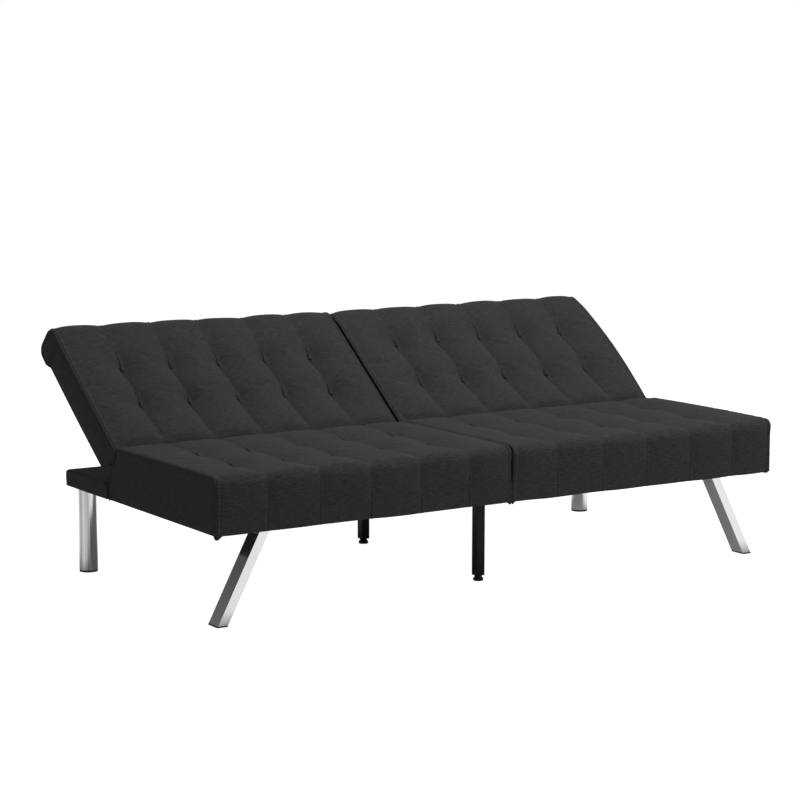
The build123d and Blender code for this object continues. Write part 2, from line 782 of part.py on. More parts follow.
with BuildPart() as rear_foot_caps:
    for side in sides.values():
        foot = Plane(origin=(side * rear_leg_out, front_y + rear_leg_from_front, 0), z_dir=(0, 0, 1))
        disc(foot, rear_tube_radius, rear_cap)
        disc(foot.offset(rear_cap), rear_tube_radius - rear_wall - running_fit, cap_plug)
save(rear_foot_caps, "rear_foot_caps")

centre_spots = [(0, front_y + from_front) for from_front in centre_legs_from_front]
with BuildPart() as centre_legs:
    with BuildSketch(Plane.XY.offset(centre_leg_bottom)) as tubes:
        with Locations(*centre_spots):
            Rectangle(centre_tube, centre_tube)
            Rectangle(centre_tube - 2 * centre_wall, centre_tube - 2 * centre_wall, mode=Mode.SUBTRACT)
    extrude(tubes.sketch, amount=plate_bottom - centre_leg_bottom)
    with BuildSketch(Plane.XY.offset(plate_bottom)) as top_plates:
        with Locations(*centre_spots):
            Rectangle(*centre_plate)
    extrude(top_plates.sketch, amount=leg_plate)
    drill(centre_leg_bolts(), bolt_radius, wood_bolt)
save(centre_legs, "centre_legs")

with BuildPart() as centre_leg_plugs:
    with BuildSketch(Plane.XY.offset(centre_leg_bottom)) as plugs:
        plug = centre_tube - 2 * centre_wall - 2 * running_fit
        with Locations(*centre_spots):
            Rectangle(plug, plug)
            Circle(stud_radius + running_fit, mode=Mode.SUBTRACT)
    extrude(plugs.sketch, amount=plug_length)
save(centre_leg_plugs, "centre_leg_plugs")

for name, spot in zip(("front", "rear"), centre_spots):
    floor = Plane(origin=(*spot, 0), z_dir=(0, 0, 1))
    stud_bottom = pad_height - stud_in_pad
    with BuildPart() as glide_stud:
        disc(floor.offset(stud_bottom), stud_radius, stud_top - stud_bottom)
    save(glide_stud, f"{name}_glide_stud")

    with BuildPart() as glide_pad:
        disc(floor, pad_radius, pad_height)
        disc(floor.offset(stud_bottom), stud_radius + running_fit, stud_in_pad, Mode.SUBTRACT)
    save(glide_pad, f"{name}_glide_pad")


# ---- Fasteners ----

with BuildPart() as leg_bolts:
    for side in sides.values():
        for planes in (front_leg_bolts(side), rear_leg_bolts(side)):
            bolts(planes, bolt_radius, wood_bolt, bolt_head, bolt_head_height)
        bolts([set_screw(side)], small_screw_radius, small_screw_length, small_screw_head, bolt_head_height)
    bolts(centre_leg_bolts(), bolt_radius, wood_bolt, bolt_head, bolt_head_height)
save(leg_bolts, "leg_bolts")

with BuildPart() as frame_bolts:
    through = 2 * inner_face
    bolts(frame_bolt_planes(), bolt_radius, through + nut_height, bolt_head, bolt_head_height)
    for plane in frame_bolt_planes():
        with BuildSketch(plane.offset(-through - nut_height)) as nut:
            RegularPolygon(nut_radius, 6)
            Circle(bolt_radius + running_fit, mode=Mode.SUBTRACT)
        extrude(nut.sketch, amount=nut_height)
save(frame_bolts, "frame_bolts")

with BuildPart() as hinge_seat_bolts_part:
    for side in sides.values():
        for place in hinge_places:
            planes = hinge_seat_bolts(side, place)
            bolts(planes, bolt_radius, wood_bolt, bolt_head, bolt_head_height)
save(hinge_seat_bolts_part, "hinge_seat_bolts")

for side_name, side in sides.items():
    with BuildPart() as hinge_back_bolts_part:
        for place in hinge_places:
            planes = hinge_back_bolts(side, place)
            bolts(planes, bolt_radius, wood_bolt, bolt_head, bolt_head_height)
    save(hinge_back_bolts_part, f"{side_name}_hinge_back_bolts")
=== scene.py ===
import json
from math import acos, atan2, cos, hypot, pi, radians, sin

import bmesh
import bpy
import numpy as np
from bpy.props import FloatProperty, FloatVectorProperty, IntProperty, PointerProperty
from mathutils import Matrix, Vector


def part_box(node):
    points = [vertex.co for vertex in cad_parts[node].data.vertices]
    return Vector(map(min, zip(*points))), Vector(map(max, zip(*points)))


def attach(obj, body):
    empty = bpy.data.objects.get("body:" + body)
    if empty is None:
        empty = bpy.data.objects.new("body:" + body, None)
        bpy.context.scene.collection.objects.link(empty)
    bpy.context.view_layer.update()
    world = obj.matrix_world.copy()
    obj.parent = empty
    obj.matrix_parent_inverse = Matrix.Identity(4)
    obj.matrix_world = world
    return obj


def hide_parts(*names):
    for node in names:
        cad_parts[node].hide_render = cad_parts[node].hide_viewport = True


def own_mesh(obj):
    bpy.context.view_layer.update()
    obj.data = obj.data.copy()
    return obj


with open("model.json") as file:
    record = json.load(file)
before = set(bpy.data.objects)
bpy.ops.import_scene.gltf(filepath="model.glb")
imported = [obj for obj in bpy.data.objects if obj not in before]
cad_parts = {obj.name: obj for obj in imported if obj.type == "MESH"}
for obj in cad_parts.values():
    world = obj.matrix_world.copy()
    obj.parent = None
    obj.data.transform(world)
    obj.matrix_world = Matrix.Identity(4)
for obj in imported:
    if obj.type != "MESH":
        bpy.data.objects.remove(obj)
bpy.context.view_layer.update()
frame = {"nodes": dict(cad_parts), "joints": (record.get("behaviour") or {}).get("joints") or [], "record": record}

bl_info = {
    "name": "Split-back futon sofa bed",
    "version": (1, 0, 0),
    "blender": (4, 5, 0),
    "location": "3D View > Sidebar > Futon",
    "description": "Upholstery, linings, fasteners and finishes for the futon's frame",
    "category": "Object",
}

# Metres, in the frame's own axes: X along the sofa, -Y its front, +Z up, the origin on the floor.

# ---- Places that the frame gives ----

SIDES = {"left": -1, "right": 1}
JOINTS = {joint["name"]: joint for joint in frame["joints"]}
RECLINE = JOINTS["left_back_recline"]
PIVOT = np.array(RECLINE["pos_m"][1:])
REST = radians(-RECLINE["range_deg"][0])
UP_THE_BACK = np.array((cos(REST), sin(REST)))
OUT_OF_THE_BACK = np.array((-sin(REST), cos(REST)))

SEAT_LOW, SEAT_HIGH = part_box("right_seat_cover")
SHELF_LOW, SHELF_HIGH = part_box("right_shelf_cover")
DUST_LOW, DUST_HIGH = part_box("right_dust_cover")
HALF_LENGTH = SEAT_HIGH.x
FRONT = SEAT_LOW.y
UNDERSIDE = DUST_LOW.z
NOSE_RADIUS = SEAT_HIGH.z - PIVOT[1]

# ---- Fits and fine shapes, in metres unless said ----

TINY = 1e-9
SAME_POINT = 1e-6
PAD_FLOOR = UNDERSIDE + 0.0003  # the underside of the base's padded pieces
SEAT_SPLIT = 0.0012  # from the sofa's middle to a seat or shelf half
BACK_SPLIT = 0.0066  # from the sofa's middle to a back
END_INSET = 0.0006  # from the base's outer end to a cushion's
CORNER_STEPS = 13  # points along a rounded corner
CROWDING = 0.58  # how much closer the mesh's columns stand beside a seam, as a share
CREASE_WIDTH = 0.0065
TUFT_STRAY = 0.004
TUFT_PULL = (0.85, 1.12)  # the weakest and the hardest pull of a tuft, as shares
FOLD_WIDTH = 0.0060
FOLD_ABOVE, FOLD_BELOW = 0.032, 0.015
FOLD_TILT = 0.06
WAVES, WAVE_RATES = 14, (8, 36)  # how many waves make up the unevenness, and their radians per metre
END_FADE = 0.025  # how far the quilting fades towards a cushion's ends
BOLT_RADIUS = 0.0065  # the flange of a bolt whose size is 1
PLATE_PLAY = 0.0015  # between a plate and the lining cut out around it
SHEET_CELL = 0.024
DUST_RISE = 0.0004  # from the underside up to a dust sheet's inner face
REAR_GAP = 0.0004  # from a back's rear face out to its lining
STUD_PLAY = 0.0008  # between a glide's hub and the leg above it
STITCH_RAISED = 0.45  # how far a stitch stands above its groove, as a share of the thread

SEEDS = {"seat_tufts": 5, "back_tufts": 9, "seat_waves": 20, "back_waves": 30, "shelf_waves": 40}
SEAT_LEVEL = 0.35  # share of a seat channel's bulge that lies below the plain form
SEAT_CREASE, SEAT_WELL, SEAT_FOLD = 0.6, 0.74, 0.72  # as shares of a back's creases, wells and folds
SEAT_BOWED = 0.6  # length of a seat's end that bows out
BOW_REACH = 0.06  # how far in from its end a cushion bows
WELL_HELD = 0.5  # share of a well's depth from which the tuft holds the fabric
OUTER_WELT_INSET = 0.0002
SHEET_SPLIT, SHEET_INSET = 0.0006, 0.0012  # from the sofa's middle, and from the edges, to a dust sheet

# The narrow and the broad well around a tuft: share of its depth, power, width, reach above and reach below.
TUFT_WELLS = ((0.66, 1, 0.028, 0.027, 0.050), (0.34, 2, 0.056, 0.052, 0.080))

# A sewn line, as columns of the mesh beside its seam, and the valley beside an end welt, as columns from that
# end. Each column has its depth, as a share of the groove's.
SEWN_LINE = ((0, 1), (-1, 0.3), (1, 0.3))
END_VALLEY = ((2, 0.7), (3, 1.5), (4, 0.9), (5, 0.3))

# A gathered corner of fabric: shares of the way down, with the radius there as a share of the spread.
GATHER_TAPER = ((0.0, 0.60), (0.30, 0.47), (0.55, 0.36), (0.75, 0.27), (0.90, 0.19), (1.0, 0.06))

# The fabric and its filling, as the cloth simulation takes them.
FABRIC = {
    "quality": 4,
    "mass": 0.3,
    "tension_stiffness": 20,
    "compression_stiffness": 20,
    "shear_stiffness": 8,
    "bending_stiffness": 2.5,
    "air_damping": 4,
    "vertex_group_mass": "pins",
    "use_pressure": True,
    "uniform_pressure_force": 3,
    "shrink_min": -0.003,
}
SETTLING = 20  # frames that the fabric takes to settle


# ---- Sizes and colours that a user would change ----

def length(name, value, description):
    return FloatProperty(name=name, description=description, default=value, min=0, unit="LENGTH", precision=4)


def colour(name, value, description):
    return FloatVectorProperty(
        name=name, description=description, default=value, size=3, min=0, max=1, subtype="COLOR"
    )


class FutonCushions(bpy.types.PropertyGroup):
    channels: IntProperty(name="Channels", description="Sewn channels across each half", default=6, min=2)
    channel_cells: IntProperty(name="Cells", description="Mesh cells across one channel", default=18, min=6)
    cell: length("Cell", 0.0082, "Mesh cell along the cushions' outlines")
    seat_bulge: length("Seat bulge", 0.0095, "Rise of a seat channel between its seams")
    back_bulge: length("Back bulge", 0.0105, "Rise of a back channel between its seams")
    tuft_depth: length("Well depth", 0.0240, "Depth of the soft well around a tuft")
    fold_depth: length("Fold depth", 0.0140, "Depth of the narrow fold at a tuft")
    seat_front_row: length("Front tufts", 0.190, "Seat front to its first row of tufts")
    seat_rear_row: length("Rear tufts", 0.385, "Seat front to its second row of tufts")
    back_low_row: length("Lower tufts", 0.162, "Pivot to the back's lower row of tufts")
    back_high_row: length("Upper tufts", 0.324, "Pivot to the back's upper row of tufts")
    groove: length("Groove", 0.0018, "Depth of the sewn line itself")
    crease: length("Crease", 0.0036, "Depth of the narrow valley along a sewn line")
    seat_roll: length("Seat roll", 0.020, "Rounding of the seat's front top edge")
    back_gap: length("Gap", 0.003, "Seat to back when the back lies flat")
    back_reach: length("Back length", 0.486, "Pivot to the back's top end")
    back_thickness: length("Back thickness", 0.095, "Front face to rear face of a back")
    heel: length("Heel", 0.027, "Pivot to the back's rear lower corner, along the back")
    rear_wrap: length("Rear wrap", 0.060, "How far the front fabric wraps over the top end and down the rear")
    split_gap: length("Split", 0.0036, "How far each seat draws back from the other above the base")
    welt: length("Welt", 0.0030, "Radius of the welt along the end seams")
    end_bow: length("End bow", 0.006, "How far the outer ends bow out at mid length")
    swell: length("Swell", 0.003, "Most that the filling may swell the fabric")


class FutonColours(bpy.types.PropertyGroup):
    linen_dark: colour("Dark thread", (0.020, 0.020, 0.021), "Darker thread of the linen")
    linen_light: colour("Light thread", (0.070, 0.070, 0.072), "Lighter thread of the linen")
    thread: colour("Thread", (0.050, 0.050, 0.051), "Sewing thread")
    lining: colour("Lining", (0.011, 0.011, 0.012), "Non-woven lining")
    chrome: colour("Chrome", (0.70, 0.70, 0.705), "Polished chrome")
    black_paint: colour("Black paint", (0.006, 0.006, 0.0065), "Powder-coated steel")
    pine: colour("Pine", (0.52, 0.34, 0.17), "Softwood rails")


class FutonFastenings(bpy.types.PropertyGroup):
    stitch_spacing: length("Stitch spacing", 0.0044, "Middle to middle of two stitches")
    stitch: length("Stitch", 0.0031, "Length of a stitch")
    thread: length("Thread", 0.0005, "Thickness of the sewing thread")
    lining: length("Lining", 0.0008, "Thickness of the linings")
    lining_sag: length("Lining sag", 0.0012, "How far a lining sags between the rails")
    staple_spacing: length("Staple spacing", 0.055, "Middle to middle of two staples")
    staple: length("Staple", 0.011, "Width of a staple's crown")
    staple_wire: length("Staple wire", 0.0010, "Thickness of a staple's wire")
    head_height: length("Bolt head", 0.0026, "Height of a bolt's six-sided head")
    flange_height: length("Flange", 0.0008, "Thickness of the flange under a bolt's head")


def settings():
    return bpy.context.scene.futon_cushions


def fastenings():
    return bpy.context.scene.futon_fastenings


def colours():
    return bpy.context.scene.futon_colours


# ---- Lines and grids ----

def arc(centre, radius, start, end, steps=9):
    """Points of an arc, angles in degrees."""
    angles = np.radians(np.linspace(start, end, steps))
    return np.array(centre) + radius * np.column_stack((np.cos(angles), np.sin(angles)))


def walk(line, count):
    """Count + 1 points evenly spaced along a line of points."""
    line = np.array(line, float)
    steps = np.linalg.norm(np.diff(line, axis=0), axis=1)
    along = np.concatenate(([0.0], np.cumsum(steps)))
    at = np.linspace(0, along[-1], count + 1)
    return np.column_stack([np.interp(at, along, line[:, axis]) for axis in range(line.shape[1])])


def refine(points, axis, closed):
    """Twice as many points along an axis, the new ones on a smooth curve through the old ones."""
    points = np.moveaxis(points, axis, 0)
    if closed:
        middle = (9 * (points + np.roll(points, -1, 0)) - np.roll(points, 1, 0) - np.roll(points, -2, 0)) / 16
        made = np.empty((2 * len(points), *points.shape[1:]))
        made[0::2], made[1::2] = points, middle
    else:
        before, after = 2 * points[:1] - points[1:2], 2 * points[-1:] - points[-2:-1]
        wide = np.concatenate((before, points, after))
        middle = (9 * (wide[1:-2] + wide[2:-1]) - wide[:-3] - wide[3:]) / 16
        made = np.empty((2 * len(points) - 1, *points.shape[1:]))
        made[0::2], made[1::2] = points, middle
    return np.moveaxis(made, 0, axis)


def halves(line):
    """The two halves of a line of points, which share its middle one."""
    middle = len(line) // 2
    return line[: middle + 1], line[middle:]


def curve(places, *points):
    """A value at each place, in straight runs between points of (place, value)."""
    return np.interp(places, *zip(*points))


def unit(vectors):
    return vectors / np.maximum(np.linalg.norm(vectors, axis=-1, keepdims=True), TINY)


class Pad:
    """A closed padded form: four sides of an outline swept along X, with a cap on each end.

    sides are lines of (y, z) points, corner to corner: rising, along the face, falling, and back underneath.
    body[i, j] is the swept skin, at station i and outline point j. caps[k][u, v] are the ends.
    """

    def __init__(self, sides, stations, cell):
        lengths = [float(np.linalg.norm(np.diff(side, axis=0), axis=1).sum()) for side in sides]
        self.rise = max(4, round((lengths[0] + lengths[2]) / 2 / cell))
        self.run = max(4, round((lengths[1] + lengths[3]) / 2 / cell))
        counts = (self.rise, self.run, self.rise, self.run)
        self.corners = np.cumsum((0, *counts))
        self.outline = np.vstack([walk(side, count)[:-1] for side, count in zip(sides, counts)])
        ahead, behind = np.roll(self.outline, -1, 0), np.roll(self.outline, 1, 0)
        steps = np.linalg.norm(ahead - self.outline, axis=1)
        self.along = np.concatenate(([0.0], np.cumsum(steps)))
        tangent = unit(ahead - behind)
        self.outward = np.column_stack((-tangent[:, 1], tangent[:, 0]))
        self.stations = np.array(stations)
        self.body = np.empty((len(stations), len(self.outline), 3))
        self.body[:, :, 0] = self.stations[:, None]
        self.body[:, :, 1:] = self.outline[None]
        self.caps = [self.cap(end) for end in (0, -1)]

    def rim(self):
        """Outline point of every cap point on its rim, and -1 inside."""
        rim = np.full((self.run + 1, self.rise + 1), -1)
        rim[0, :] = np.arange(self.rise + 1)
        rim[:, -1] = self.corners[1] + np.arange(self.run + 1)
        rim[-1, ::-1] = self.corners[2] + np.arange(self.rise + 1)
        rim[::-1, 0] = (self.corners[3] + np.arange(self.run + 1)) % self.body.shape[1]
        return rim

    def cap(self, end):
        """The end's grid of points, spread evenly between its four rims."""
        rim = self.rim()
        edge = self.body[end]
        u = np.linspace(0, 1, self.run + 1)[:, None, None]
        v = np.linspace(0, 1, self.rise + 1)[None, :, None]
        left, right = edge[rim[0]][None], edge[rim[-1]][None]
        low, high = edge[rim[:, 0]][:, None], edge[rim[:, -1]][:, None]
        a, b, c, d = (edge[rim[i, j]] for i, j in ((0, 0), (-1, 0), (0, -1), (-1, -1)))
        corners = (1 - u) * (1 - v) * a + u * (1 - v) * b + (1 - u) * v * c + u * v * d
        return (1 - u) * left + u * right + (1 - v) * low + v * high - corners

    def push(self, amount):
        """Move the skin outwards by amount[i, j]."""
        self.body[:, :, 1:] += amount[:, :, None] * self.outward[None]
        self.caps = [self.cap(end) for end in (0, -1)]

    def lean_out(self, amount):
        """Move the skin along X by amount[i, j]."""
        self.body[:, :, 0] += amount
        self.caps = [self.cap(end) for end in (0, -1)]

    def crown_ends(self, amounts):
        """Round each end outwards by its amount, to nothing at its rim."""
        u = np.linspace(0, 1, self.run + 1)[:, None]
        v = np.linspace(0, 1, self.rise + 1)[None, :]
        shape = (16 * u * (1 - u) * v * (1 - v)) ** 0.6
        away = np.sign(self.stations[-1] - self.stations[0])
        for cap, amount, way in zip(self.caps, amounts, (-away, away)):
            cap[:, :, 0] += way * amount * shape

    def finer(self):
        """Twice as many points each way."""
        self.body = refine(refine(self.body, 0, False), 1, True)
        self.caps = [refine(refine(cap, 0, False), 1, False) for cap in self.caps]
        self.rise, self.run, self.corners = 2 * self.rise, 2 * self.run, 2 * self.corners
        for end, cap in zip((0, -1), self.caps):
            rim = self.rim()
            cap[rim >= 0] = self.body[end][rim[rim >= 0]]
        self.stations = refine(self.stations, 0, False)
        self.along = np.interp(
            np.arange(self.body.shape[1] + 1) / 2, np.arange(len(self.along)), self.along
        )
        ahead, behind = np.roll(self.body, -1, 1), np.roll(self.body, 1, 1)
        across = np.gradient(self.body, axis=0)
        away = np.sign(self.stations[-1] - self.stations[0])
        self.normals = unit(np.cross(ahead - behind, across)) * away

    def points(self):
        """Every point once: the skin, then the inside of each cap."""
        inside = self.rim() < 0
        return np.vstack((self.body.reshape(-1, 3), *[cap[inside] for cap in self.caps]))

    def take(self, points):
        """Take the points back after a simulation moved them."""
        skin = self.body.shape[0] * self.body.shape[1]
        self.body = points[:skin].reshape(self.body.shape)
        rim = self.rim()
        inside = rim < 0
        start = skin
        for end, cap in zip((0, -1), self.caps):
            cap[inside] = points[start : start + inside.sum()]
            cap[~inside] = self.body[end][rim[~inside]]
            start += inside.sum()

    def mesh(self, name):
        """The closed mesh, with a UV map in metres that follows the fabric."""
        stations, around = self.body.shape[:2]
        i, j = np.meshgrid(np.arange(stations - 1), np.arange(around), indexing="ij")
        i, j = i.ravel(), j.ravel()
        k = (j + 1) % around
        here, ahead = i * around, (i + 1) * around
        quads = [np.column_stack((here + j, here + k, ahead + k, ahead + j))]
        reach = np.abs(self.stations)
        corners = (i, j), (i, j + 1), (i + 1, j + 1), (i + 1, j)
        uvs = [np.stack([np.column_stack((reach[u], self.along[v])) for u, v in corners], axis=1)]
        rim = self.rim()
        start = stations * around
        for end in (0, stations - 1):
            index = np.where(rim >= 0, end * around + rim, 0)
            inside = rim < 0
            index[inside] = start + np.arange(inside.sum())
            start += inside.sum()
            cap = self.caps[0 if end == 0 else 1]
            quad = [index[:-1, :-1], index[1:, :-1], index[1:, 1:], index[:-1, 1:]]
            flat = cap[:, :, 1:]
            uv = [flat[:-1, :-1], flat[1:, :-1], flat[1:, 1:], flat[:-1, 1:]]
            if end:
                quad, uv = quad[::-1], uv[::-1]
            quads.append(np.stack(quad, axis=-1).reshape(-1, 4))
            uvs.append(np.stack(uv, axis=2).reshape(-1, 4, 2))
        quads, uvs = np.vstack(quads), np.vstack(uvs)
        if self.stations[-1] > self.stations[0]:
            quads, uvs = quads[:, ::-1], uvs[:, ::-1]
        return mesh_of(name, self.points(), quads, uvs)


def mesh_of(name, points, faces, uvs=None):
    """A smooth mesh from points and faces, with UVs for each face corner."""
    mesh = bpy.data.meshes.new(name)
    corners = faces.tolist() if isinstance(faces, np.ndarray) else faces
    mesh.from_pydata(np.asarray(points).tolist(), [], corners)
    if uvs is not None:
        layer = mesh.uv_layers.new(name="Fabric")
        layer.data.foreach_set("uv", np.asarray(uvs, np.float32).reshape(-1))
    mesh.shade_smooth()
    mesh.update()
    return mesh


def face_outwards(mesh):
    """Merge doubled points, drop those that no face uses, and turn every face outwards."""
    work = bmesh.new()
    work.from_mesh(mesh)
    bmesh.ops.remove_doubles(work, verts=work.verts, dist=SAME_POINT)
    bmesh.ops.delete(work, geom=[vertex for vertex in work.verts if not vertex.link_faces], context="VERTS")
    bmesh.ops.recalc_face_normals(work, faces=work.faces)
    work.to_mesh(mesh)
    work.free()
    return mesh


def add_piece(name, mesh, body, slot, finish=None):
    """Put a mesh in the scene as a piece that rides on a body, in its slot's finish or the one given."""
    piece = bpy.data.objects.new(name, mesh)
    bpy.context.scene.collection.objects.link(piece)
    mesh.materials.clear()
    mesh.materials.append(finish_of(finish or slot))
    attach(piece, body)
    return piece


def tube(path, radii, sides=10):
    """Points, faces and UVs of a round bar along a path, closed at both ends."""
    path = np.asarray(path, float)
    radii = np.broadcast_to(radii, len(path))
    tangent = unit(np.gradient(path, axis=0))
    first = np.cross(tangent, (1.0, 0.0, 0.0))
    along_x = np.linalg.norm(first, axis=1)[:, None] < SAME_POINT
    first = unit(np.where(along_x, (0.0, 1.0, 0.0), first))
    second = np.cross(tangent, first)
    turns = 2 * pi * np.arange(sides) / sides
    ring = (
        path[:, None]
        + radii[:, None, None] * np.cos(turns)[None, :, None] * first[:, None]
        + radii[:, None, None] * np.sin(turns)[None, :, None] * second[:, None]
    )
    points = np.vstack((ring.reshape(-1, 3), path[:1], path[-1:]))
    count = len(path)
    run = np.concatenate(([0.0], np.cumsum(np.linalg.norm(np.diff(path, axis=0), axis=1))))
    faces, uvs = [], []
    for i in range(count - 1):
        around = 2 * pi * radii[i] / sides
        for j in range(sides):
            k = (j + 1) % sides
            faces.append((i * sides + j, i * sides + k, (i + 1) * sides + k, (i + 1) * sides + j))
            uvs += [(run[i], j * around), (run[i], (j + 1) * around)]
            uvs += [(run[i + 1], (j + 1) * around), (run[i + 1], j * around)]
    low, high, last = count * sides, count * sides + 1, (count - 1) * sides
    faces += [(low, (j + 1) % sides, j) for j in range(sides)]
    faces += [(high, last + j, last + (j + 1) % sides) for j in range(sides)]
    uvs += [(0.0, 0.0)] * (2 * 3 * sides)
    return points, faces, uvs


def tubes_mesh(name, bars):
    """One mesh of several round bars."""
    points, faces, uvs, shift = [], [], [], 0
    for path, radii in bars:
        bar_points, bar_faces, bar_uvs = tube(path, radii)
        points.append(bar_points)
        faces += [tuple(shift + v for v in face) for face in bar_faces]
        uvs += bar_uvs
        shift += len(bar_points)
    return face_outwards(mesh_of(name, np.vstack(points), faces, uvs))


# ---- Cloth ----

def swell(pad, name, loose, held):
    """Let the filling swell a pad's loose rows a little, between its seams, its ends and the points held."""
    sizes = settings()
    pins = np.ones(pad.body.shape[:2])
    pins[1:-1, loose] = 0
    pins[sizes.channel_cells : -1 : sizes.channel_cells] = 1
    pins[held] = 1
    start = pad.points()
    pinned = np.concatenate((np.flatnonzero(pins), np.arange(pins.size, len(start))))
    mesh = pad.mesh(f"{name}_cloth")
    cloth = bpy.data.objects.new(f"{name}_cloth", mesh)
    scene = bpy.context.scene
    scene.collection.objects.link(cloth)
    cloth.vertex_groups.new(name=FABRIC["vertex_group_mass"]).add(pinned.tolist(), 1.0, "REPLACE")
    modifier = cloth.modifiers.new("Cloth", "CLOTH")
    for setting, value in FABRIC.items():
        setattr(modifier.settings, setting, value)
    modifier.settings.effector_weights.gravity = 0
    modifier.collision_settings.use_collision = False
    for step in range(1, SETTLING + 1):
        scene.frame_set(step)
    settled = cloth.evaluated_get(bpy.context.evaluated_depsgraph_get())
    moved = np.empty(len(start) * 3, np.float32)
    settled.data.vertices.foreach_get("co", moved)
    shift = moved.reshape(-1, 3).astype(float) - start
    far = np.linalg.norm(shift, axis=1, keepdims=True)
    shift *= sizes.swell * np.tanh(far / sizes.swell) / np.maximum(far, TINY)
    bpy.data.objects.remove(cloth)
    bpy.data.meshes.remove(mesh)
    scene.frame_set(1)
    pad.take(start + shift)


# ---- Seats and backs ----

def in_the_back(points):
    """Points given as (up the back from the pivot, out of its front face) in the frame's (y, z)."""
    points = np.asarray(points, float)
    return PIVOT + points[:, :1] * UP_THE_BACK + points[:, 1:] * OUT_OF_THE_BACK


def undercut_angle():
    """Direction, in the back's own axes, in which the straight undercut leaves the nose."""
    sizes = settings()
    rear = NOSE_RADIUS - sizes.back_thickness
    return np.degrees(atan2(rear, sizes.heel) - acos(NOSE_RADIUS / hypot(sizes.heel, rear)))


def seat_sides():
    """The seat's end view: up the front, along the top, down the rear, and back underneath."""
    sizes = settings()
    roll = sizes.seat_roll
    rear_roll = NOSE_RADIUS - sizes.back_gap
    top, clear = SEAT_HIGH.z, NOSE_RADIUS + sizes.back_gap
    turn = radians(undercut_angle())
    foot = SEAT_HIGH.y
    under_nose = PIVOT + clear * np.array((cos(turn), sin(turn)))
    foot_z = PIVOT[1] + (clear - cos(turn) * (foot - PIVOT[0])) / sin(turn)
    nose_front = PIVOT[0] - clear
    up_front, over_front = halves(arc((FRONT + roll, top - roll), roll, 180, 90, CORNER_STEPS))
    rear_centre = (nose_front - rear_roll, top - rear_roll)
    up_rear, down_rear = halves(arc(rear_centre, rear_roll, 90, 0, CORNER_STEPS))
    hollow = arc(PIVOT, clear, 180, 360 + undercut_angle())
    rising = np.vstack(((FRONT, PAD_FLOOR), up_front))
    face = np.vstack((over_front, up_rear))
    falling = np.vstack((down_rear, hollow, under_nose, (foot, foot_z), (foot, PAD_FLOOR)))
    return [rising, face, falling, np.array(((foot, PAD_FLOOR), (FRONT, PAD_FLOOR)))]


def back_sides():
    """A back's end view: up the undercut and nose, along the front face, over the top end, down the rear."""
    sizes = settings()
    rear = NOSE_RADIUS - sizes.back_thickness
    end, top_roll, end_roll, heel_roll = sizes.back_reach, 0.030, 0.022, 0.006
    nose = arc((0, 0), NOSE_RADIUS, undercut_angle(), -270, 21)
    corner = 2 * len(nose) // 3  # where the front face begins
    top_centre, end_centre = (end - top_roll, NOSE_RADIUS - top_roll), (end - end_roll, rear + end_roll)
    along_top, down_top = halves(arc(top_centre, top_roll, 90, 0, CORNER_STEPS))
    down_end, under_end = halves(arc(end_centre, end_roll, 0, -90, CORNER_STEPS))
    heel = np.array((sizes.heel, rear))
    into = heel + heel_roll * unit(nose[0] - heel)
    out_of = heel + (heel_roll, 0)
    middle = (into + out_of) / 2
    rising = np.vstack((middle, into, nose[: corner + 1]))
    face = np.vstack((nose[corner:], along_top))
    falling = np.vstack((down_top, down_end))
    under = np.vstack((under_end, out_of, middle))
    return [in_the_back(side) for side in (rising, face, falling, under)]


def stations(side, near):
    """Places across a half, closest together at the seams, with one on every seam."""
    sizes = settings()
    steps = np.arange(sizes.channels * sizes.channel_cells + 1) / sizes.channel_cells
    width = HALF_LENGTH / sizes.channels
    across = width * (steps - CROWDING * np.sin(2 * pi * steps) / (2 * pi))
    half, outer = width / 2, HALF_LENGTH - width / 2
    far = (HALF_LENGTH, HALF_LENGTH - END_INSET)
    return side * curve(across, (0, near), (half, half), (outer, outer), far)


def channels(across, sharpness):
    """0 on every seam and 1 in the middle of a channel, for places across a half, at each sharpness given."""
    share = np.abs(across)[:, None] / HALF_LENGTH * settings().channels % 1
    return 1 - np.abs(2 * share - 1) ** sharpness[None]


def creases(across):
    """1 on every seam, down to 0 a little way from it."""
    count = settings().channels
    share = np.abs(across) / HALF_LENGTH * count
    near = np.abs(share - np.clip(np.round(share), 1, count - 1))
    return np.exp(-near * HALF_LENGTH / count / CREASE_WIDTH)[:, None]


def seam_places():
    sizes = settings()
    return HALF_LENGTH * np.arange(1, sizes.channels) / sizes.channels


def between_seams(across, inner, outer):
    """A value at each place across a half, from the seam nearest the sofa's middle to the outermost one."""
    seams = seam_places()
    return np.interp(np.abs(across), (seams[0], seams[-1]), (inner, outer))


def tufts(seed, rows):
    """Every tuft of a half: its place across and along, how hard it pulls, and the tilt of its fold."""
    random = np.random.default_rng(seed)
    places = []
    for seam in seam_places():
        for row, stray in rows:
            along = row + between_seams(seam, *stray) + random.uniform(-TUFT_STRAY, TUFT_STRAY)
            places.append((seam, along, random.uniform(*TUFT_PULL), random.uniform(-1, 1)))
    return places


def from_ends(pad):
    """How far each station is from a pad's end beside the sofa's middle, and from its outer end."""
    across = np.abs(pad.stations)
    return across - across.min(), across.max() - across


def drift(pad, inner, outer):
    """Move the seams along X from their even spacing, by the amounts at the innermost and outermost seams."""
    ends = np.clip(np.minimum(*from_ends(pad)) / seam_places()[0], 0, 1)
    pad.lean_out((between_seams(pad.stations, inner, outer) * ends)[:, None])


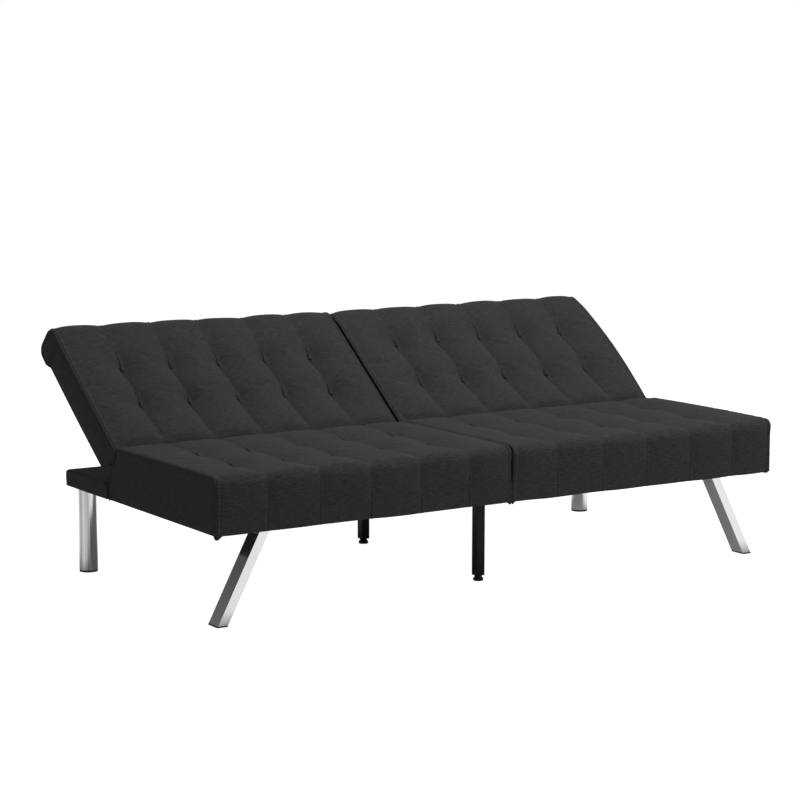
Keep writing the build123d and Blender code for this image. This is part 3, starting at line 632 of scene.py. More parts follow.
def wells(across, along, places):
    """The soft wells around the tufts, as a share of their depth: steep above a tuft and gentle below it."""
    pull = np.zeros((len(across), len(along)))
    for seam, row, depth, _ in places:
        dx, ds = np.abs(across)[:, None] - seam, along[None] - row
        well = 0
        for share, power, width, above, below in TUFT_WELLS:
            off = np.hypot(dx / width, ds / np.where(ds > 0, above, below))
            well = well + share * np.exp(-(off**power))
        pull += depth * well
    return pull


def folds(across, along, places):
    """The narrow folds at the tufts, for place arrays of the same shape, as a share of their depth."""
    pull = np.zeros(across.shape)
    for seam, row, depth, tilt in places:
        ds = along - row
        dx = np.abs(across) - seam - FOLD_TILT * tilt * ds
        reach = np.where(ds > 0, FOLD_ABOVE, FOLD_BELOW)
        pull += depth * np.exp(-(np.abs(dx / FOLD_WIDTH) ** 1.6)) * np.exp(-(np.abs(ds / reach) ** 1.5))
    return pull


def waviness(across, along, seed, size=0.0010):
    """Slow, small unevenness of a hand-filled cushion."""
    random = np.random.default_rng(seed)
    total = np.zeros((len(across), len(along)))
    for _ in range(WAVES):
        wave_x, wave_s = random.uniform(*WAVE_RATES, 2)
        phase = random.uniform(0, 2 * pi, 2)
        total += np.outer(np.sin(wave_x * across + phase[0]), np.sin(wave_s * along + phase[1]))
    return size * total / 3


def edge_fade(pad, width):
    """0 at both ends of a pad and 1 away from them."""
    return 1 - np.exp(-np.minimum(*from_ends(pad)) / width)[:, None]


def outer_share(pad, width):
    """1 at a pad's outer end, down to 0 away from it."""
    return np.exp(-from_ends(pad)[1] / width)[:, None]


def inner_share(pad, width):
    """1 at a pad's end beside the sofa's middle, down to 0 away from it."""
    return np.exp(-from_ends(pad)[0] / width)[:, None]


def gather(corner, way, lean, depth, spread):
    """A gathered corner of fabric that hangs below an end seam, as a tapering bar."""
    top = np.array(corner) + (-way * 0.50 * spread, lean * 0.50 * spread, 0.003)
    tip = np.array(corner) + (-way * 0.14 * spread, lean * 0.14 * spread, -depth)
    shares, radii = np.transpose(GATHER_TAPER)
    return top + (tip - top) * shares[:, None], spread * radii


def welts(pad, name, body, last, gathers, inset):
    """Welts along both end seams of a pad, from its first outline point to the last one given.

    gathers holds the outer end's gathered corners, then the inner end's.
    """
    sizes = settings()
    bars = []
    for end in (0, -1):
        outer = abs(pad.stations[end]) > HALF_LENGTH / 2
        way = np.sign(pad.stations[end]) * (1 if outer else -1)
        edge = pad.body[end, : last + 1] + pad.normals[end, : last + 1] * sizes.welt * 0.5
        edge[:, 0] -= way * (OUTER_WELT_INSET if outer else inset)
        bars.append((edge, sizes.welt))
        for point, lean, depth, spread in gathers[0 if outer else 1]:
            bars.append(gather(pad.body[end, point] + (0, 0, 0.001), way, lean, depth, spread))
    add_piece(name, tubes_mesh(name, bars), body, "charcoal_fabric")


def seam_columns():
    """The columns of a finer skin that stand on its seams."""
    sizes = settings()
    return [2 * seam * sizes.channel_cells for seam in range(1, sizes.channels)]


def sewn_lines(pad, last):
    """Press the sewn lines, and the valleys beside the end welts, into the skin up to an outline point."""
    sizes = settings()
    shallow = np.linspace(1, 0, 6)
    ends = np.ones(last)
    ends[-len(shallow) :] *= shallow
    lines = []
    for middle in seam_columns():
        lines += [(middle + beside, share) for beside, share in SEWN_LINE]
    for column, share in END_VALLEY:
        lines += [(column, share), (-1 - column, share)]
    for column, share in lines:
        pad.body[column, :last] -= pad.normals[column, :last] * (share * sizes.groove * ends)[:, None]


def press_folds(pad, places, along, first, last, depth):
    """Press the tufts' folds into the finer skin between two outline points."""
    along = along[:, first:last]
    pull = folds(np.broadcast_to(pad.stations[:, None], along.shape), along, places)
    pad.body[:, first:last] -= pad.normals[:, first:last] * (depth * pull)[:, :, None]


# How far each half strays from an even layout, as (beside the sofa's middle, at the outermost seam).
STRAYS = {
    "left": {
        "seat_seams": (0.015, 0.003),
        "seat_front": (0.000, -0.012),
        "seat_rear": (-0.012, -0.028),
        "back_seams": (0.006, 0.004),
        "back_low": (-0.012, 0.004),
        "back_high": (-0.030, -0.018),
    },
    "right": {
        "seat_seams": (0.003, 0.015),
        "seat_front": (0.000, 0.000),
        "seat_rear": (0.000, 0.000),
        "back_seams": (0.016, 0.016),
        "back_low": (-0.011, -0.009),
        "back_high": (0.001, -0.007),
    },
}


# How each half's ends differ. The bows are shares of the end bow and the rest is in metres.
ENDS = {
    "left": {
        "seat_bow": 0.3,
        "seat_low_bow": 0.35,
        "seat_out": 0.0,
        "back_bow": 0.3,
        "back_lift": 0.003,
        "back_border": 0.0,
        "back_corner": 0.0,
    },
    "right": {
        "seat_bow": 1.0,
        "seat_low_bow": 1.0,
        "seat_out": 0.003,
        "back_bow": 1.8,
        "back_lift": -0.003,
        "back_border": 0.006,
        "back_corner": 0.010,
    },
}

# The fabric gathered below a seat's end seams, at its front foot and then its rear one, as (depth, spread).
SEAT_GATHERS = {
    "left": ((0.0105, 0.025), (0.005, 0.009)),
    "right": ((0.0040, 0.017), (0.004, 0.008)),
    "inner": ((0.008, 0.013), (0.005, 0.009)),
}


def seat_cushion(side_name, side):
    """One half of the seat: its padded form, then its quilting, its seams and its welts."""
    sizes, strays, ends = settings(), STRAYS[side_name], ENDS[side_name]
    pad = Pad(seat_sides(), stations(side, SEAT_SPLIT), sizes.cell)
    across, along = pad.stations, pad.along[:-1]
    from_front, height = pad.outline[:, 0] - FRONT, pad.outline[:, 1]
    rise, run = pad.corners[1], pad.corners[2]
    edge, rear = along[rise], along[run]
    order = np.arange(len(along))
    on_top = (order >= rise) & (order <= run)
    fade = edge_fade(pad, END_FADE)
    bulge = curve(
        along, (0, 0.1), (0.05, 0.25), (edge - 0.02, 0.5), (edge + 0.03, 0.75), (edge + 0.10, 0.9),
        (edge + 0.2, 1), (rear - 0.14, 0.9), (rear - 0.06, 0.5), (rear, 0.25), (rear + 0.015, 0),
    )
    sharpness = curve(along, (edge - 0.02, 2.8), (edge + 0.06, 2.3))
    crown = curve(
        along, (0, 0.0010), (0.02, 0.0022), (0.09, 0.0030), (edge, 0.0014),
        (edge + 0.06, 0.0034), (rear - 0.06, 0.0036), (rear, 0.0008), (rear + 0.01, 0),
    )
    creased = curve(along, (edge - 0.02, 0), (edge + 0.03, 1), (rear - 0.05, 1), (rear, 0))
    ends_up = curve(along, (edge - 0.03, 0), (edge, 0.0040), (edge + 0.25, 0.0032), (rear, 0))
    amount = crown[None] * fade
    amount += sizes.seat_bulge * (channels(across, sharpness) - SEAT_LEVEL) * bulge[None] * fade
    amount -= SEAT_CREASE * sizes.crease * creases(across) * creased[None]
    amount += ends_up[None] * (1 - fade)
    rows = (sizes.seat_front_row, strays["seat_front"]), (sizes.seat_rear_row, strays["seat_rear"])
    places = tufts(SEEDS["seat_tufts"] + side, rows)
    pull = wells(across, from_front, places)
    amount -= sizes.tuft_depth * SEAT_WELL * pull * on_top[None]
    amount += waviness(across, along, SEEDS["seat_waves"] + side) * fade * (order <= run)[None]
    least = np.where(along < edge - 0.02, 0.0002, -1)
    pad.push(np.maximum(amount, least[None]))
    arched = np.sin(pi * np.clip(from_front / SEAT_BOWED, 0, 1))
    bow = sizes.end_bow * ends["seat_bow"] * arched + ends["seat_out"]
    bow *= curve(height, (0.25, ends["seat_low_bow"]), (0.33, 1))
    gap = curve(height, (SHELF_HIGH.z, 0), (SHELF_HIGH.z + 0.03, sizes.split_gap))
    pad.lean_out(side * (outer_share(pad, BOW_REACH) * bow[None] + inner_share(pad, 0.012) * gap[None]))
    drift(pad, *strays["seat_seams"])
    pad.crown_ends((0.0008, 0.0040))
    loose = (height > SHELF_HIGH.z + 0.01) & (order < run)
    swell(pad, side_name, loose, (pull > WELL_HELD) & on_top[None])
    pad.finer()
    press_folds(pad, places, pad.body[:, :, 1] - FRONT, 2 * rise, 2 * run, SEAT_FOLD * sizes.fold_depth)
    sewn_lines(pad, 2 * run)
    name = f"{side_name}_seat_cushion"
    piece = add_piece(name, pad.mesh(name), "base", "charcoal_fabric")
    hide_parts(f"{side_name}_seat_cover", f"{side_name}_seat_foam")
    feet = (0, 1), (pad.corners[3], -1)
    both = SEAT_GATHERS[side_name], SEAT_GATHERS["inner"]
    gathers = [[(*foot, *size) for foot, size in zip(feet, gathered)] for gathered in both]
    welts(pad, f"{side_name}_seat_welts", "base", pad.corners[3], gathers, 0.0014)
    return pad


def back_cushion(side_name, side):
    """One of the backs: its padded form, then its quilting, its seams and its welts."""
    sizes, strays, ends = settings(), STRAYS[side_name], ENDS[side_name]
    pad = Pad(back_sides(), stations(side, BACK_SPLIT), sizes.cell)
    across, along = pad.stations, pad.along[:-1]
    up = (pad.outline - PIVOT) @ UP_THE_BACK
    arched = np.sin(pi * np.clip(up / sizes.back_reach, 0, 1))
    rise, run, fall = pad.corners[1:4]
    foot, top, over = along[rise], along[run], along[fall]
    wrap_end = over + sizes.rear_wrap
    order = np.arange(len(along))
    on_face = (order >= rise) & (order <= run)
    fade = edge_fade(pad, END_FADE)
    bulge = curve(
        along, (foot + 0.008, 0), (foot + 0.035, 0.75), (foot + 0.15, 1), (foot + 0.33, 1),
        (foot + 0.40, 0.55), (top - 0.02, 0.5), (over, 0.45), (wrap_end, 0),
    )
    sharpness = curve(along, (foot + 0.34, 2.8), (foot + 0.40, 2.0), (top - 0.03, 2.0), (top, 2.6))
    level = curve(along, (foot, 0.5), (foot + 0.05, 0.35), (top - 0.08, 0.35), (top - 0.02, 0.62))
    crown = curve(
        along, (foot + 0.004, 0), (foot + 0.03, 0.0085), (foot + 0.1, 0.0062), (foot + 0.25, 0.0034),
        (top - 0.05, 0.0030), (top, 0.0020), (wrap_end - 0.014, 0.0020), (wrap_end, 0),
    )
    roll = curve(
        along, (top - 0.05, 0), (top - 0.01, 0.0022), (over, 0.0045), (over + 0.02, 0.0055),
        (wrap_end - 0.014, 0.0050), (wrap_end, -0.0012), (wrap_end + 0.008, 0),
    )
    face = (foot + 0.02, 0), (foot + 0.05, 1), (foot + 0.33, 1), (foot + 0.40, 0.25), (top, 0)
    creased = curve(along, *face)
    lifted = curve(along, (top - 0.08, 0), (top - 0.01, 1), (over, 1), (wrap_end, 0))
    rounded = curve(along, (top - 0.06, 0), (top, 1), (over, 1), (wrap_end, 0))
    lift = curve(np.abs(across), (0, -0.0045), (HALF_LENGTH, ends["back_lift"]))
    amount = crown[None] * fade
    amount += sizes.back_bulge * (channels(across, sharpness) - level[None]) * bulge[None] * fade
    amount -= sizes.crease * creases(across) * creased[None]
    amount += roll[None] + lift[:, None] * lifted[None]
    amount += outer_share(pad, 0.05) * (ends["back_border"] * arched * on_face)[None]
    rows = (sizes.back_low_row, strays["back_low"]), (sizes.back_high_row, strays["back_high"])
    places = tufts(SEEDS["back_tufts"] + side, rows)
    pull = wells(across, up, places)
    amount -= sizes.tuft_depth * pull * on_face[None]
    shown = (order >= rise + 2) & (along < wrap_end)
    amount += waviness(across, along, SEEDS["back_waves"] + side) * fade * shown[None]
    corners = 0.006 * outer_share(pad, 0.013) + ends["back_corner"] * inner_share(pad, 0.010)
    amount -= corners * rounded[None]
    pad.push(amount)
    bow = sizes.end_bow * ends["back_bow"] * arched
    bow += curve(along, (top, 0), (over - 0.02, 0.005), (wrap_end - 0.01, 0.005), (wrap_end + 0.01, 0))
    pad.lean_out(side * outer_share(pad, BOW_REACH) * bow[None])
    drift(pad, *strays["back_seams"])
    pad.crown_ends((0.0006, 0.0040))
    loose = (order > rise + 2) & (along < wrap_end - 0.02)
    swell(pad, side_name, loose, (pull > WELL_HELD) & on_face[None])
    pad.finer()
    up_the_back = (pad.body[:, :, 1:] - PIVOT) @ UP_THE_BACK
    press_folds(pad, places, up_the_back, 2 * rise, 2 * run, sizes.fold_depth)
    sewn_lines(pad, 2 * fall)
    name, body = f"{side_name}_back_cushion", f"{side_name}_back"
    piece = add_piece(name, pad.mesh(name), body, "charcoal_fabric")
    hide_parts(f"{side_name}_back_cover", f"{side_name}_back_foam")
    last = int(np.searchsorted(pad.along, wrap_end))
    welts(pad, f"{side_name}_back_welts", body, last, ((), ()), OUTER_WELT_INSET)
    return pad


def shelf_pad(side_name, side):
    """One half of the thin pad that covers the base behind the seat."""
    low, high = SHELF_LOW, SHELF_HIGH
    front_roll, rear_roll, deepest = 0.002, 0.007, 0.004
    up_front, over_front = halves(arc((low.y + front_roll, high.z - front_roll), front_roll, 180, 90, 5))
    up_rear, down_rear = halves(arc((high.y - rear_roll, high.z - rear_roll), rear_roll, 90, 0))
    sides = [
        np.vstack(((low.y, PAD_FLOOR), up_front)),
        np.vstack((over_front, up_rear)),
        np.vstack((down_rear, (high.y, PAD_FLOOR))),
        np.array(((high.y, PAD_FLOOR), (low.y, PAD_FLOOR))),
    ]
    pad = Pad(sides, stations(side, SEAT_SPLIT), settings().cell)
    order, along = np.arange(len(pad.outline)), pad.along[:-1]
    rise, fall = pad.corners[1], pad.corners[3]
    face = ((order > rise + 1) & (order < fall - 1))[None]
    waves = 0.4 * waviness(pad.stations, along, SEEDS["shelf_waves"] + side)
    amount = (0.0012 + waves) * edge_fade(pad, 0.015) * face + 0.0022 * outer_share(pad, 0.05) * face
    rounded = np.exp(-(HALF_LENGTH - np.abs(pad.stations)) / 0.003)[:, None]
    amount -= deepest * rounded * ((order >= rise) & (order <= fall))[None]
    pad.push(np.maximum(amount, -deepest))
    pad.lean_out(side * 0.0048 * outer_share(pad, 0.03))
    pad.crown_ends((0.0004, 0.0012))
    pad.finer()
    name = f"{side_name}_shelf_pad"
    piece = add_piece(name, pad.mesh(name), "base", "charcoal_fabric")
    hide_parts(f"{side_name}_shelf_cover")


# ---- Stitches, staples and bolts ----

def growth(name, inputs):
    """A new tree of Geometry Nodes with named inputs for its sizes."""
    tree = bpy.data.node_groups.new(name, "GeometryNodeTree")
    tree.interface.new_socket("Geometry", in_out="INPUT", socket_type="NodeSocketGeometry")
    for label, value in inputs:
        socket = tree.interface.new_socket(label, in_out="INPUT", socket_type="NodeSocketFloat")
        socket.default_value = value
    tree.interface.new_socket("Material", in_out="INPUT", socket_type="NodeSocketMaterial")
    tree.interface.new_socket("Geometry", in_out="OUTPUT", socket_type="NodeSocketGeometry")
    nodes = Nodes(tree)
    return nodes, nodes.add("NodeGroupInput"), nodes.add("NodeGroupOutput")


def facing(nodes, *ways):
    """A rotation that turns each axis given to its direction, one after the other."""
    rotation = None
    for axis, pivot, way in ways:
        turn = nodes.add("FunctionNodeAlignRotationToVector", axis=axis, pivot_axis=pivot)
        nodes.join(way, turn.inputs["Vector"])
        if rotation is not None:
            nodes.join(rotation, turn.inputs["Rotation"])
        rotation = turn.outputs["Rotation"]
    return rotation


def stored(nodes, label, kind):
    node = nodes.add("GeometryNodeInputNamedAttribute", data_type=kind)
    node.inputs["Name"].default_value = label
    return node.outputs["Attribute"]


def finish_growth(nodes, given, result, *parts):
    """Join the parts, make them real, and give them their finish."""
    together = nodes.add("GeometryNodeJoinGeometry")
    for part in parts:
        nodes.join(part, together.inputs["Geometry"])
    real = nodes.put("GeometryNodeRealizeInstances", Geometry=together.outputs["Geometry"])
    finish = nodes.put(
        "GeometryNodeSetMaterial", Geometry=real.outputs["Geometry"], Material=given.outputs["Material"]
    )
    nodes.join(finish.outputs["Geometry"], result.inputs["Geometry"])
    return nodes.tree


def looped_bars():
    """Short bars along a path, whose ends dip into what they hold: stitches and staples."""
    nodes, given, result = growth("looped_bars", [("Spacing", 0.01), ("Length", 0.004), ("Thickness", 0.001)])
    thickness = given.outputs["Thickness"]
    path = nodes.put("GeometryNodeMeshToCurve", Mesh=given.outputs["Geometry"])
    places = nodes.add("GeometryNodeResampleCurve", mode="LENGTH")
    nodes.feed(places, Curve=path.outputs["Curve"], Length=given.outputs["Spacing"])
    half = nodes.math("MULTIPLY", given.outputs["Length"], 0.5)
    start, end = (nodes.vector(X=nodes.math("MULTIPLY", half, sign)) for sign in (-1, 1))
    bar = nodes.put("GeometryNodeCurvePrimitiveLine", Start=start, End=end)
    steps = nodes.add("GeometryNodeResampleCurve", mode="COUNT")
    nodes.feed(steps, Curve=bar.outputs["Curve"], Count=5)
    along = nodes.parts(nodes.add("GeometryNodeInputPosition").outputs[0])["X"]
    share = nodes.math("POWER", nodes.math("ABSOLUTE", nodes.math("DIVIDE", along, half)), 3.0)
    dip = nodes.vector(Z=nodes.math("MULTIPLY", nodes.math("MULTIPLY", share, -1.3), thickness))
    bent = nodes.put("GeometryNodeSetPosition", Geometry=steps.outputs["Curve"], Offset=dip)
    radius = nodes.math("MULTIPLY", thickness, 0.5)
    section = nodes.put("GeometryNodeCurvePrimitiveCircle", Resolution=5, Radius=radius)
    solid = nodes.put("GeometryNodeCurveToMesh", Curve=bent.outputs["Geometry"], Fill_Caps=True)
    nodes.feed(solid, Profile_Curve=section.outputs["Curve"])
    tangent = nodes.add("GeometryNodeInputTangent").outputs[0]
    turned = facing(nodes, ("Z", "AUTO", stored(nodes, "outward", "FLOAT_VECTOR")), ("X", "Z", tangent))
    laid = nodes.put("GeometryNodeInstanceOnPoints", Points=places.outputs["Curve"], Rotation=turned)
    nodes.feed(laid, Instance=solid.outputs["Mesh"])
    return finish_growth(nodes, given, result, laid.outputs["Instances"])


def flanged_bolts():
    """Bolts at points: a six-sided head on a flange, and a shank as long as each point says."""
    sizes = {"Radius": BOLT_RADIUS, "Head height": 0.0026, "Flange height": 0.0008, "Shank radius": 0.0038}
    nodes, given, result = growth("flanged_bolts", sizes.items())
    radius, head, flange, shank_radius = (given.outputs[label] for label in sizes)
    flat, top = nodes.math("MULTIPLY", radius, 0.86), nodes.math("MULTIPLY", radius, 0.70)
    chamfer = nodes.math("MULTIPLY", head, 0.25)
    body = nodes.math("SUBTRACT", head, chamfer)
    upper = nodes.math("ADD", flange, body)
    heads = nodes.add("GeometryNodeJoinGeometry")
    stack = [(24, radius, radius, flange, 0.0), (6, flat, flat, body, flange), (6, flat, top, chamfer, upper)]
    for count, low, high, depth, start in stack:
        cone = nodes.put("GeometryNodeMeshCone", Vertices=count, Radius_Bottom=low, Radius_Top=high)
        nodes.feed(cone, Depth=depth)
        raised = nodes.put("GeometryNodeTransform", Geometry=cone.outputs["Mesh"])
        nodes.feed(raised, Translation=nodes.vector(Z=start))
        nodes.join(raised.outputs["Geometry"], heads.inputs["Geometry"])
    shank = nodes.put("GeometryNodeMeshCylinder", Vertices=12, Radius=shank_radius, Depth=1.0)
    lowered = nodes.put("GeometryNodeTransform", Geometry=shank.outputs["Mesh"], Translation=(0, 0, -0.5))
    turned = facing(nodes, ("Z", "AUTO", stored(nodes, "outward", "FLOAT_VECTOR")))
    size, reach = stored(nodes, "size", "FLOAT"), stored(nodes, "reach", "FLOAT")
    laid = []
    for shape, depth in ((heads, size), (lowered, reach)):
        scale = nodes.vector(X=size, Y=size, Z=depth)
        instances = nodes.put("GeometryNodeInstanceOnPoints", Points=given.outputs["Geometry"])
        nodes.feed(instances, Instance=shape.outputs["Geometry"], Rotation=turned, Scale=scale)
        laid.append(instances.outputs["Instances"])
    return finish_growth(nodes, given, result, *laid)


TREES = {}


def tree_of(make):
    if make not in TREES:
        TREES[make] = make()
    return TREES[make]


def grow(name, tree, points, edges, values, sizes, finish):
    """The plain mesh that a tree of Geometry Nodes makes on points or along paths."""
    mesh = bpy.data.meshes.new(f"{name}_places")
    mesh.from_pydata(np.asarray(points).tolist(), edges, [])
    for label, numbers in values.items():
        numbers = np.asarray(numbers, np.float32)
        vector = numbers.ndim == 2
        made = mesh.attributes.new(label, "FLOAT_VECTOR" if vector else "FLOAT", "POINT")
        made.data.foreach_set("vector" if vector else "value", numbers.ravel())
    holder = bpy.data.objects.new(f"{name}_places", mesh)
    bpy.context.scene.collection.objects.link(holder)
    modifier = holder.modifiers.new("Grow", "NODES")
    modifier.node_group = tree
    inputs = {item.name: item.identifier for item in tree.interface.items_tree if item.in_out == "INPUT"}
    for label, value in sizes.items():
        modifier[inputs[label]] = value
    modifier[inputs["Material"]] = finish_of(finish)
    settled = holder.evaluated_get(bpy.context.evaluated_depsgraph_get())
    grown = bpy.data.meshes.new_from_object(settled)
    grown.name = name
    bpy.data.objects.remove(holder)
    bpy.data.meshes.remove(mesh)
    return grown


def bars_along(name, paths, spacing, bar, thickness, finish):
    """Stitches or staples along several paths, each a pair of points and outward directions."""
    points = np.vstack([path for path, _ in paths])
    outward = np.vstack([np.broadcast_to(way, path.shape) for path, way in paths])
    edges, start = [], 0
    for path, _ in paths:
        edges += [(start + step, start + step + 1) for step in range(len(path) - 1)]
        start += len(path)
    sizes = {"Spacing": spacing, "Length": bar, "Thickness": thickness}
    return grow(name, tree_of(looped_bars), points, edges, {"outward": outward}, sizes, finish)


def sewn_paths(pad, first, last):
    """The sewn lines of a finished pad, between two of its outline points."""
    lift = STITCH_RAISED * fastenings().thread
    lines = [(pad.body[column, first:last], pad.normals[column, first:last]) for column in seam_columns()]
    return [(points + lift * outward, outward) for points, outward in lines]


def stitch(name, paths, body):
    sizes = fastenings()
    mesh = bars_along(name, paths, sizes.stitch_spacing, sizes.stitch, sizes.thread, "thread")
    add_piece(name, mesh, body, "charcoal_fabric", "thread")


def loose_parts(node):
    """The points of each separate solid of a CAD node."""
    work = bmesh.new()
    work.from_mesh(frame["nodes"][node].data)
    bmesh.ops.remove_doubles(work, verts=work.verts, dist=1e-6)
    parts, seen = [], set()
    for start in work.verts:
        if start in seen:
            continue
        waiting, found = [start], []
        seen.add(start)
        while waiting:
            vertex = waiting.pop()
            found.append(vertex.co[:])
            for edge in vertex.link_edges:
                other = edge.other_vert(vertex)
                if other not in seen:
                    seen.add(other)
                    waiting.append(other)
        parts.append(np.array(found))
    work.free()
    return parts


def staple(name, paths, body):
    sizes = fastenings()
    mesh = bars_along(name, paths, sizes.staple_spacing, sizes.staple, sizes.staple_wire, "zinc_steel")
    add_piece(name, mesh, body, "zinc_steel")


def replace_bolts(name, nodes, body):
    """Bolts with six-sided flanged heads where the frame has plain ones."""
    points, outward, size, reach = [], [], [], []
    for part in [part for node in nodes for part in loose_parts(node)]:
        middle = part.mean(0)
        axis = np.linalg.svd(part - middle, full_matrices=False)[2][0]
        far = (part - middle) @ axis
        off = np.linalg.norm(part - middle - far[:, None] * axis, axis=1)
        if off[far > 0].max() < off[far < 0].max():
            axis, far = -axis, -far
        under = far[off > 0.95 * off.max()].min()
        points.append(middle + under * axis)
        outward.append(axis)
        size.append(off.max() / BOLT_RADIUS)
        reach.append(under - far.min())
    sizes = fastenings()
    values = {"outward": outward, "size": size, "reach": reach}
    heights = {"Head height": sizes.head_height, "Flange height": sizes.flange_height}
    mesh = grow(name, tree_of(flanged_bolts), points, [], values, heights, "zinc_steel")
    piece = add_piece(name, mesh, body, "zinc_steel")
    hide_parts(*nodes)


def part_springs():
    """Each pawl's spring as a piece of its own."""
    for name in SIDES:
        node = f"{name}_pawl_springs"
        for place in ("inner", "outer"):
            mesh = frame["nodes"][node].data.copy()
            work = bmesh.new()
            work.from_mesh(mesh)
            bmesh.ops.remove_doubles(work, verts=work.verts, dist=SAME_POINT)
            outer = place == "outer"
            others = [v for v in work.verts if (abs(v.co.x) > HALF_LENGTH / 2) != outer]
            bmesh.ops.delete(work, geom=others, context="VERTS")
            work.to_mesh(mesh)
            work.free()
            piece = add_piece(f"{name}_{place}_pawl_spring", mesh, "base", "spring_steel")
            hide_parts(node)
            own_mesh(piece)


# ---- Linings and glides ----

def grid_lines(start, end, cell, borders):
    """Places from start to end, no more than a cell apart, with one on every border."""
    marks = sorted({start, end, *[b for b in borders if start < b < end]})
    lines = [np.linspace(a, b, max(1, round((b - a) / cell)) + 1)[:-1] for a, b in zip(marks, marks[1:])]
    return np.concatenate((*lines, [end]))


def sheet_mesh(name, us, vs, sag, openings, place):
    """A thin closed sheet on a grid, left open where plates come through.

    place puts points given as (u, v, height). The sheet comes with its flat area.
    """
    thick = fastenings().lining
    u, v = np.meshgrid(us, vs, indexing="ij")
    lift = sag(u, v)
    outside = place(u.ravel(), v.ravel(), (lift + thick).ravel())
    inside = place(u.ravel(), v.ravel(), lift.ravel())
    middle_u, middle_v = (us[1:] + us[:-1]) / 2, (vs[1:] + vs[:-1]) / 2
    kept = np.zeros((len(us) + 1, len(vs) + 1), bool)
    kept[1:-1, 1:-1] = True
    for low_u, high_u, low_v, high_v in openings:
        in_u = (middle_u > low_u) & (middle_u < high_u)
        in_v = (middle_v > low_v) & (middle_v < high_v)
        kept[1:-1, 1:-1] &= ~np.outer(in_u, in_v)
    number = np.arange(u.size).reshape(u.shape)
    faces, area = [], 0.0
    for i, j in zip(*np.nonzero(kept)):
        a, b, c, d = number[i - 1, j - 1], number[i, j - 1], number[i, j], number[i - 1, j]
        faces += [(a, b, c, d), (d + u.size, c + u.size, b + u.size, a + u.size)]
        area += (us[i] - us[i - 1]) * (vs[j] - vs[j - 1])
        edges = (a, b, (i, j - 1)), (b, c, (i + 1, j)), (c, d, (i, j + 1)), (d, a, (i - 1, j))
        for first, second, beyond in edges:
            if not kept[beyond]:
                faces.append((first, first + u.size, second + u.size, second))
    return face_outwards(mesh_of(name, np.vstack((inside, outside)), np.array(faces))), area


def staple_paths(low_u, high_u, low_v, high_v, inset, place, outward, height):
    """The four staple rows of a lining, just inside its edges."""
    rows = []
    us = (low_u + inset, high_u - inset)
    vs = (low_v + inset, high_v - inset)
    corners = [(us[0], vs[0]), (us[1], vs[0]), (us[1], vs[1]), (us[0], vs[1])]
    for first, second in zip(corners, corners[1:] + corners[:1]):
        ends = np.array((first, second))
        ends += 0.02 * np.sign(ends[::-1] - ends)
        rows.append((place(ends[:, 0], ends[:, 1], np.full(2, height)), np.asarray(outward, float)))
    return rows


def dust_sheets():
    """The linings stretched under the base, one for each half, with their staples."""
    sizes = fastenings()
    plates = loose_parts("front_leg_plates") + loose_parts("centre_legs")
    plates += [np.array(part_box(f"{name}_rear_leg")) for name in SIDES]
    holes = []
    for plate in plates:
        (low_x, low_y), (high_x, high_y) = plate[:, :2].min(0) - PLATE_PLAY, plate[:, :2].max(0) + PLATE_PLAY
        holes.append((low_x, high_x, low_y, high_y))
    rails = [DUST_LOW.y, FRONT + 0.300, FRONT + 0.640, DUST_HIGH.y]
    staples = []

    def below(u, v, height):
        return np.column_stack((u, v, UNDERSIDE + DUST_RISE - height))

    def sag(u, v):
        share = (np.abs(u) / HALF_LENGTH - 0.03) / 0.94
        across = np.sin(pi * np.clip(share, 0, 1)) ** 0.5
        total = np.zeros(u.shape)
        for first, last in zip(rails, rails[1:]):
            total += np.sin(pi * np.clip((v - first) / (last - first), 0, 1)) * across
        ripples = 0.5 + 0.5 * np.sin(23 * u + 9 * np.sin(5 * v)) * np.sin(31 * v + 2)
        return sizes.lining_sag * total * (0.7 + 0.3 * ripples)

    for name, side in SIDES.items():
        low_u, high_u = sorted((side * SHEET_SPLIT, side * (HALF_LENGTH - SHEET_INSET)))
        low_v, high_v = DUST_LOW.y + SHEET_INSET, DUST_HIGH.y - SHEET_INSET
        mine = [hole for hole in holes if hole[1] > low_u and hole[0] < high_u]
        us = grid_lines(low_u, high_u, SHEET_CELL, [edge for hole in mine for edge in hole[:2]])
        vs = grid_lines(low_v, high_v, SHEET_CELL, [edge for hole in mine for edge in hole[2:]])
        mesh, area = sheet_mesh(f"{name}_dust_sheet", us, vs, sag, mine, below)
        piece = add_piece(f"{name}_dust_sheet", mesh, "base", "black_lining")
        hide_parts(f"{name}_dust_cover")
        height = sizes.lining + 0.0001
        staples += staple_paths(low_u, high_u, low_v, high_v, 0.012, below, (0, 0, -1), height)
    staple("base_staples", staples, "base")


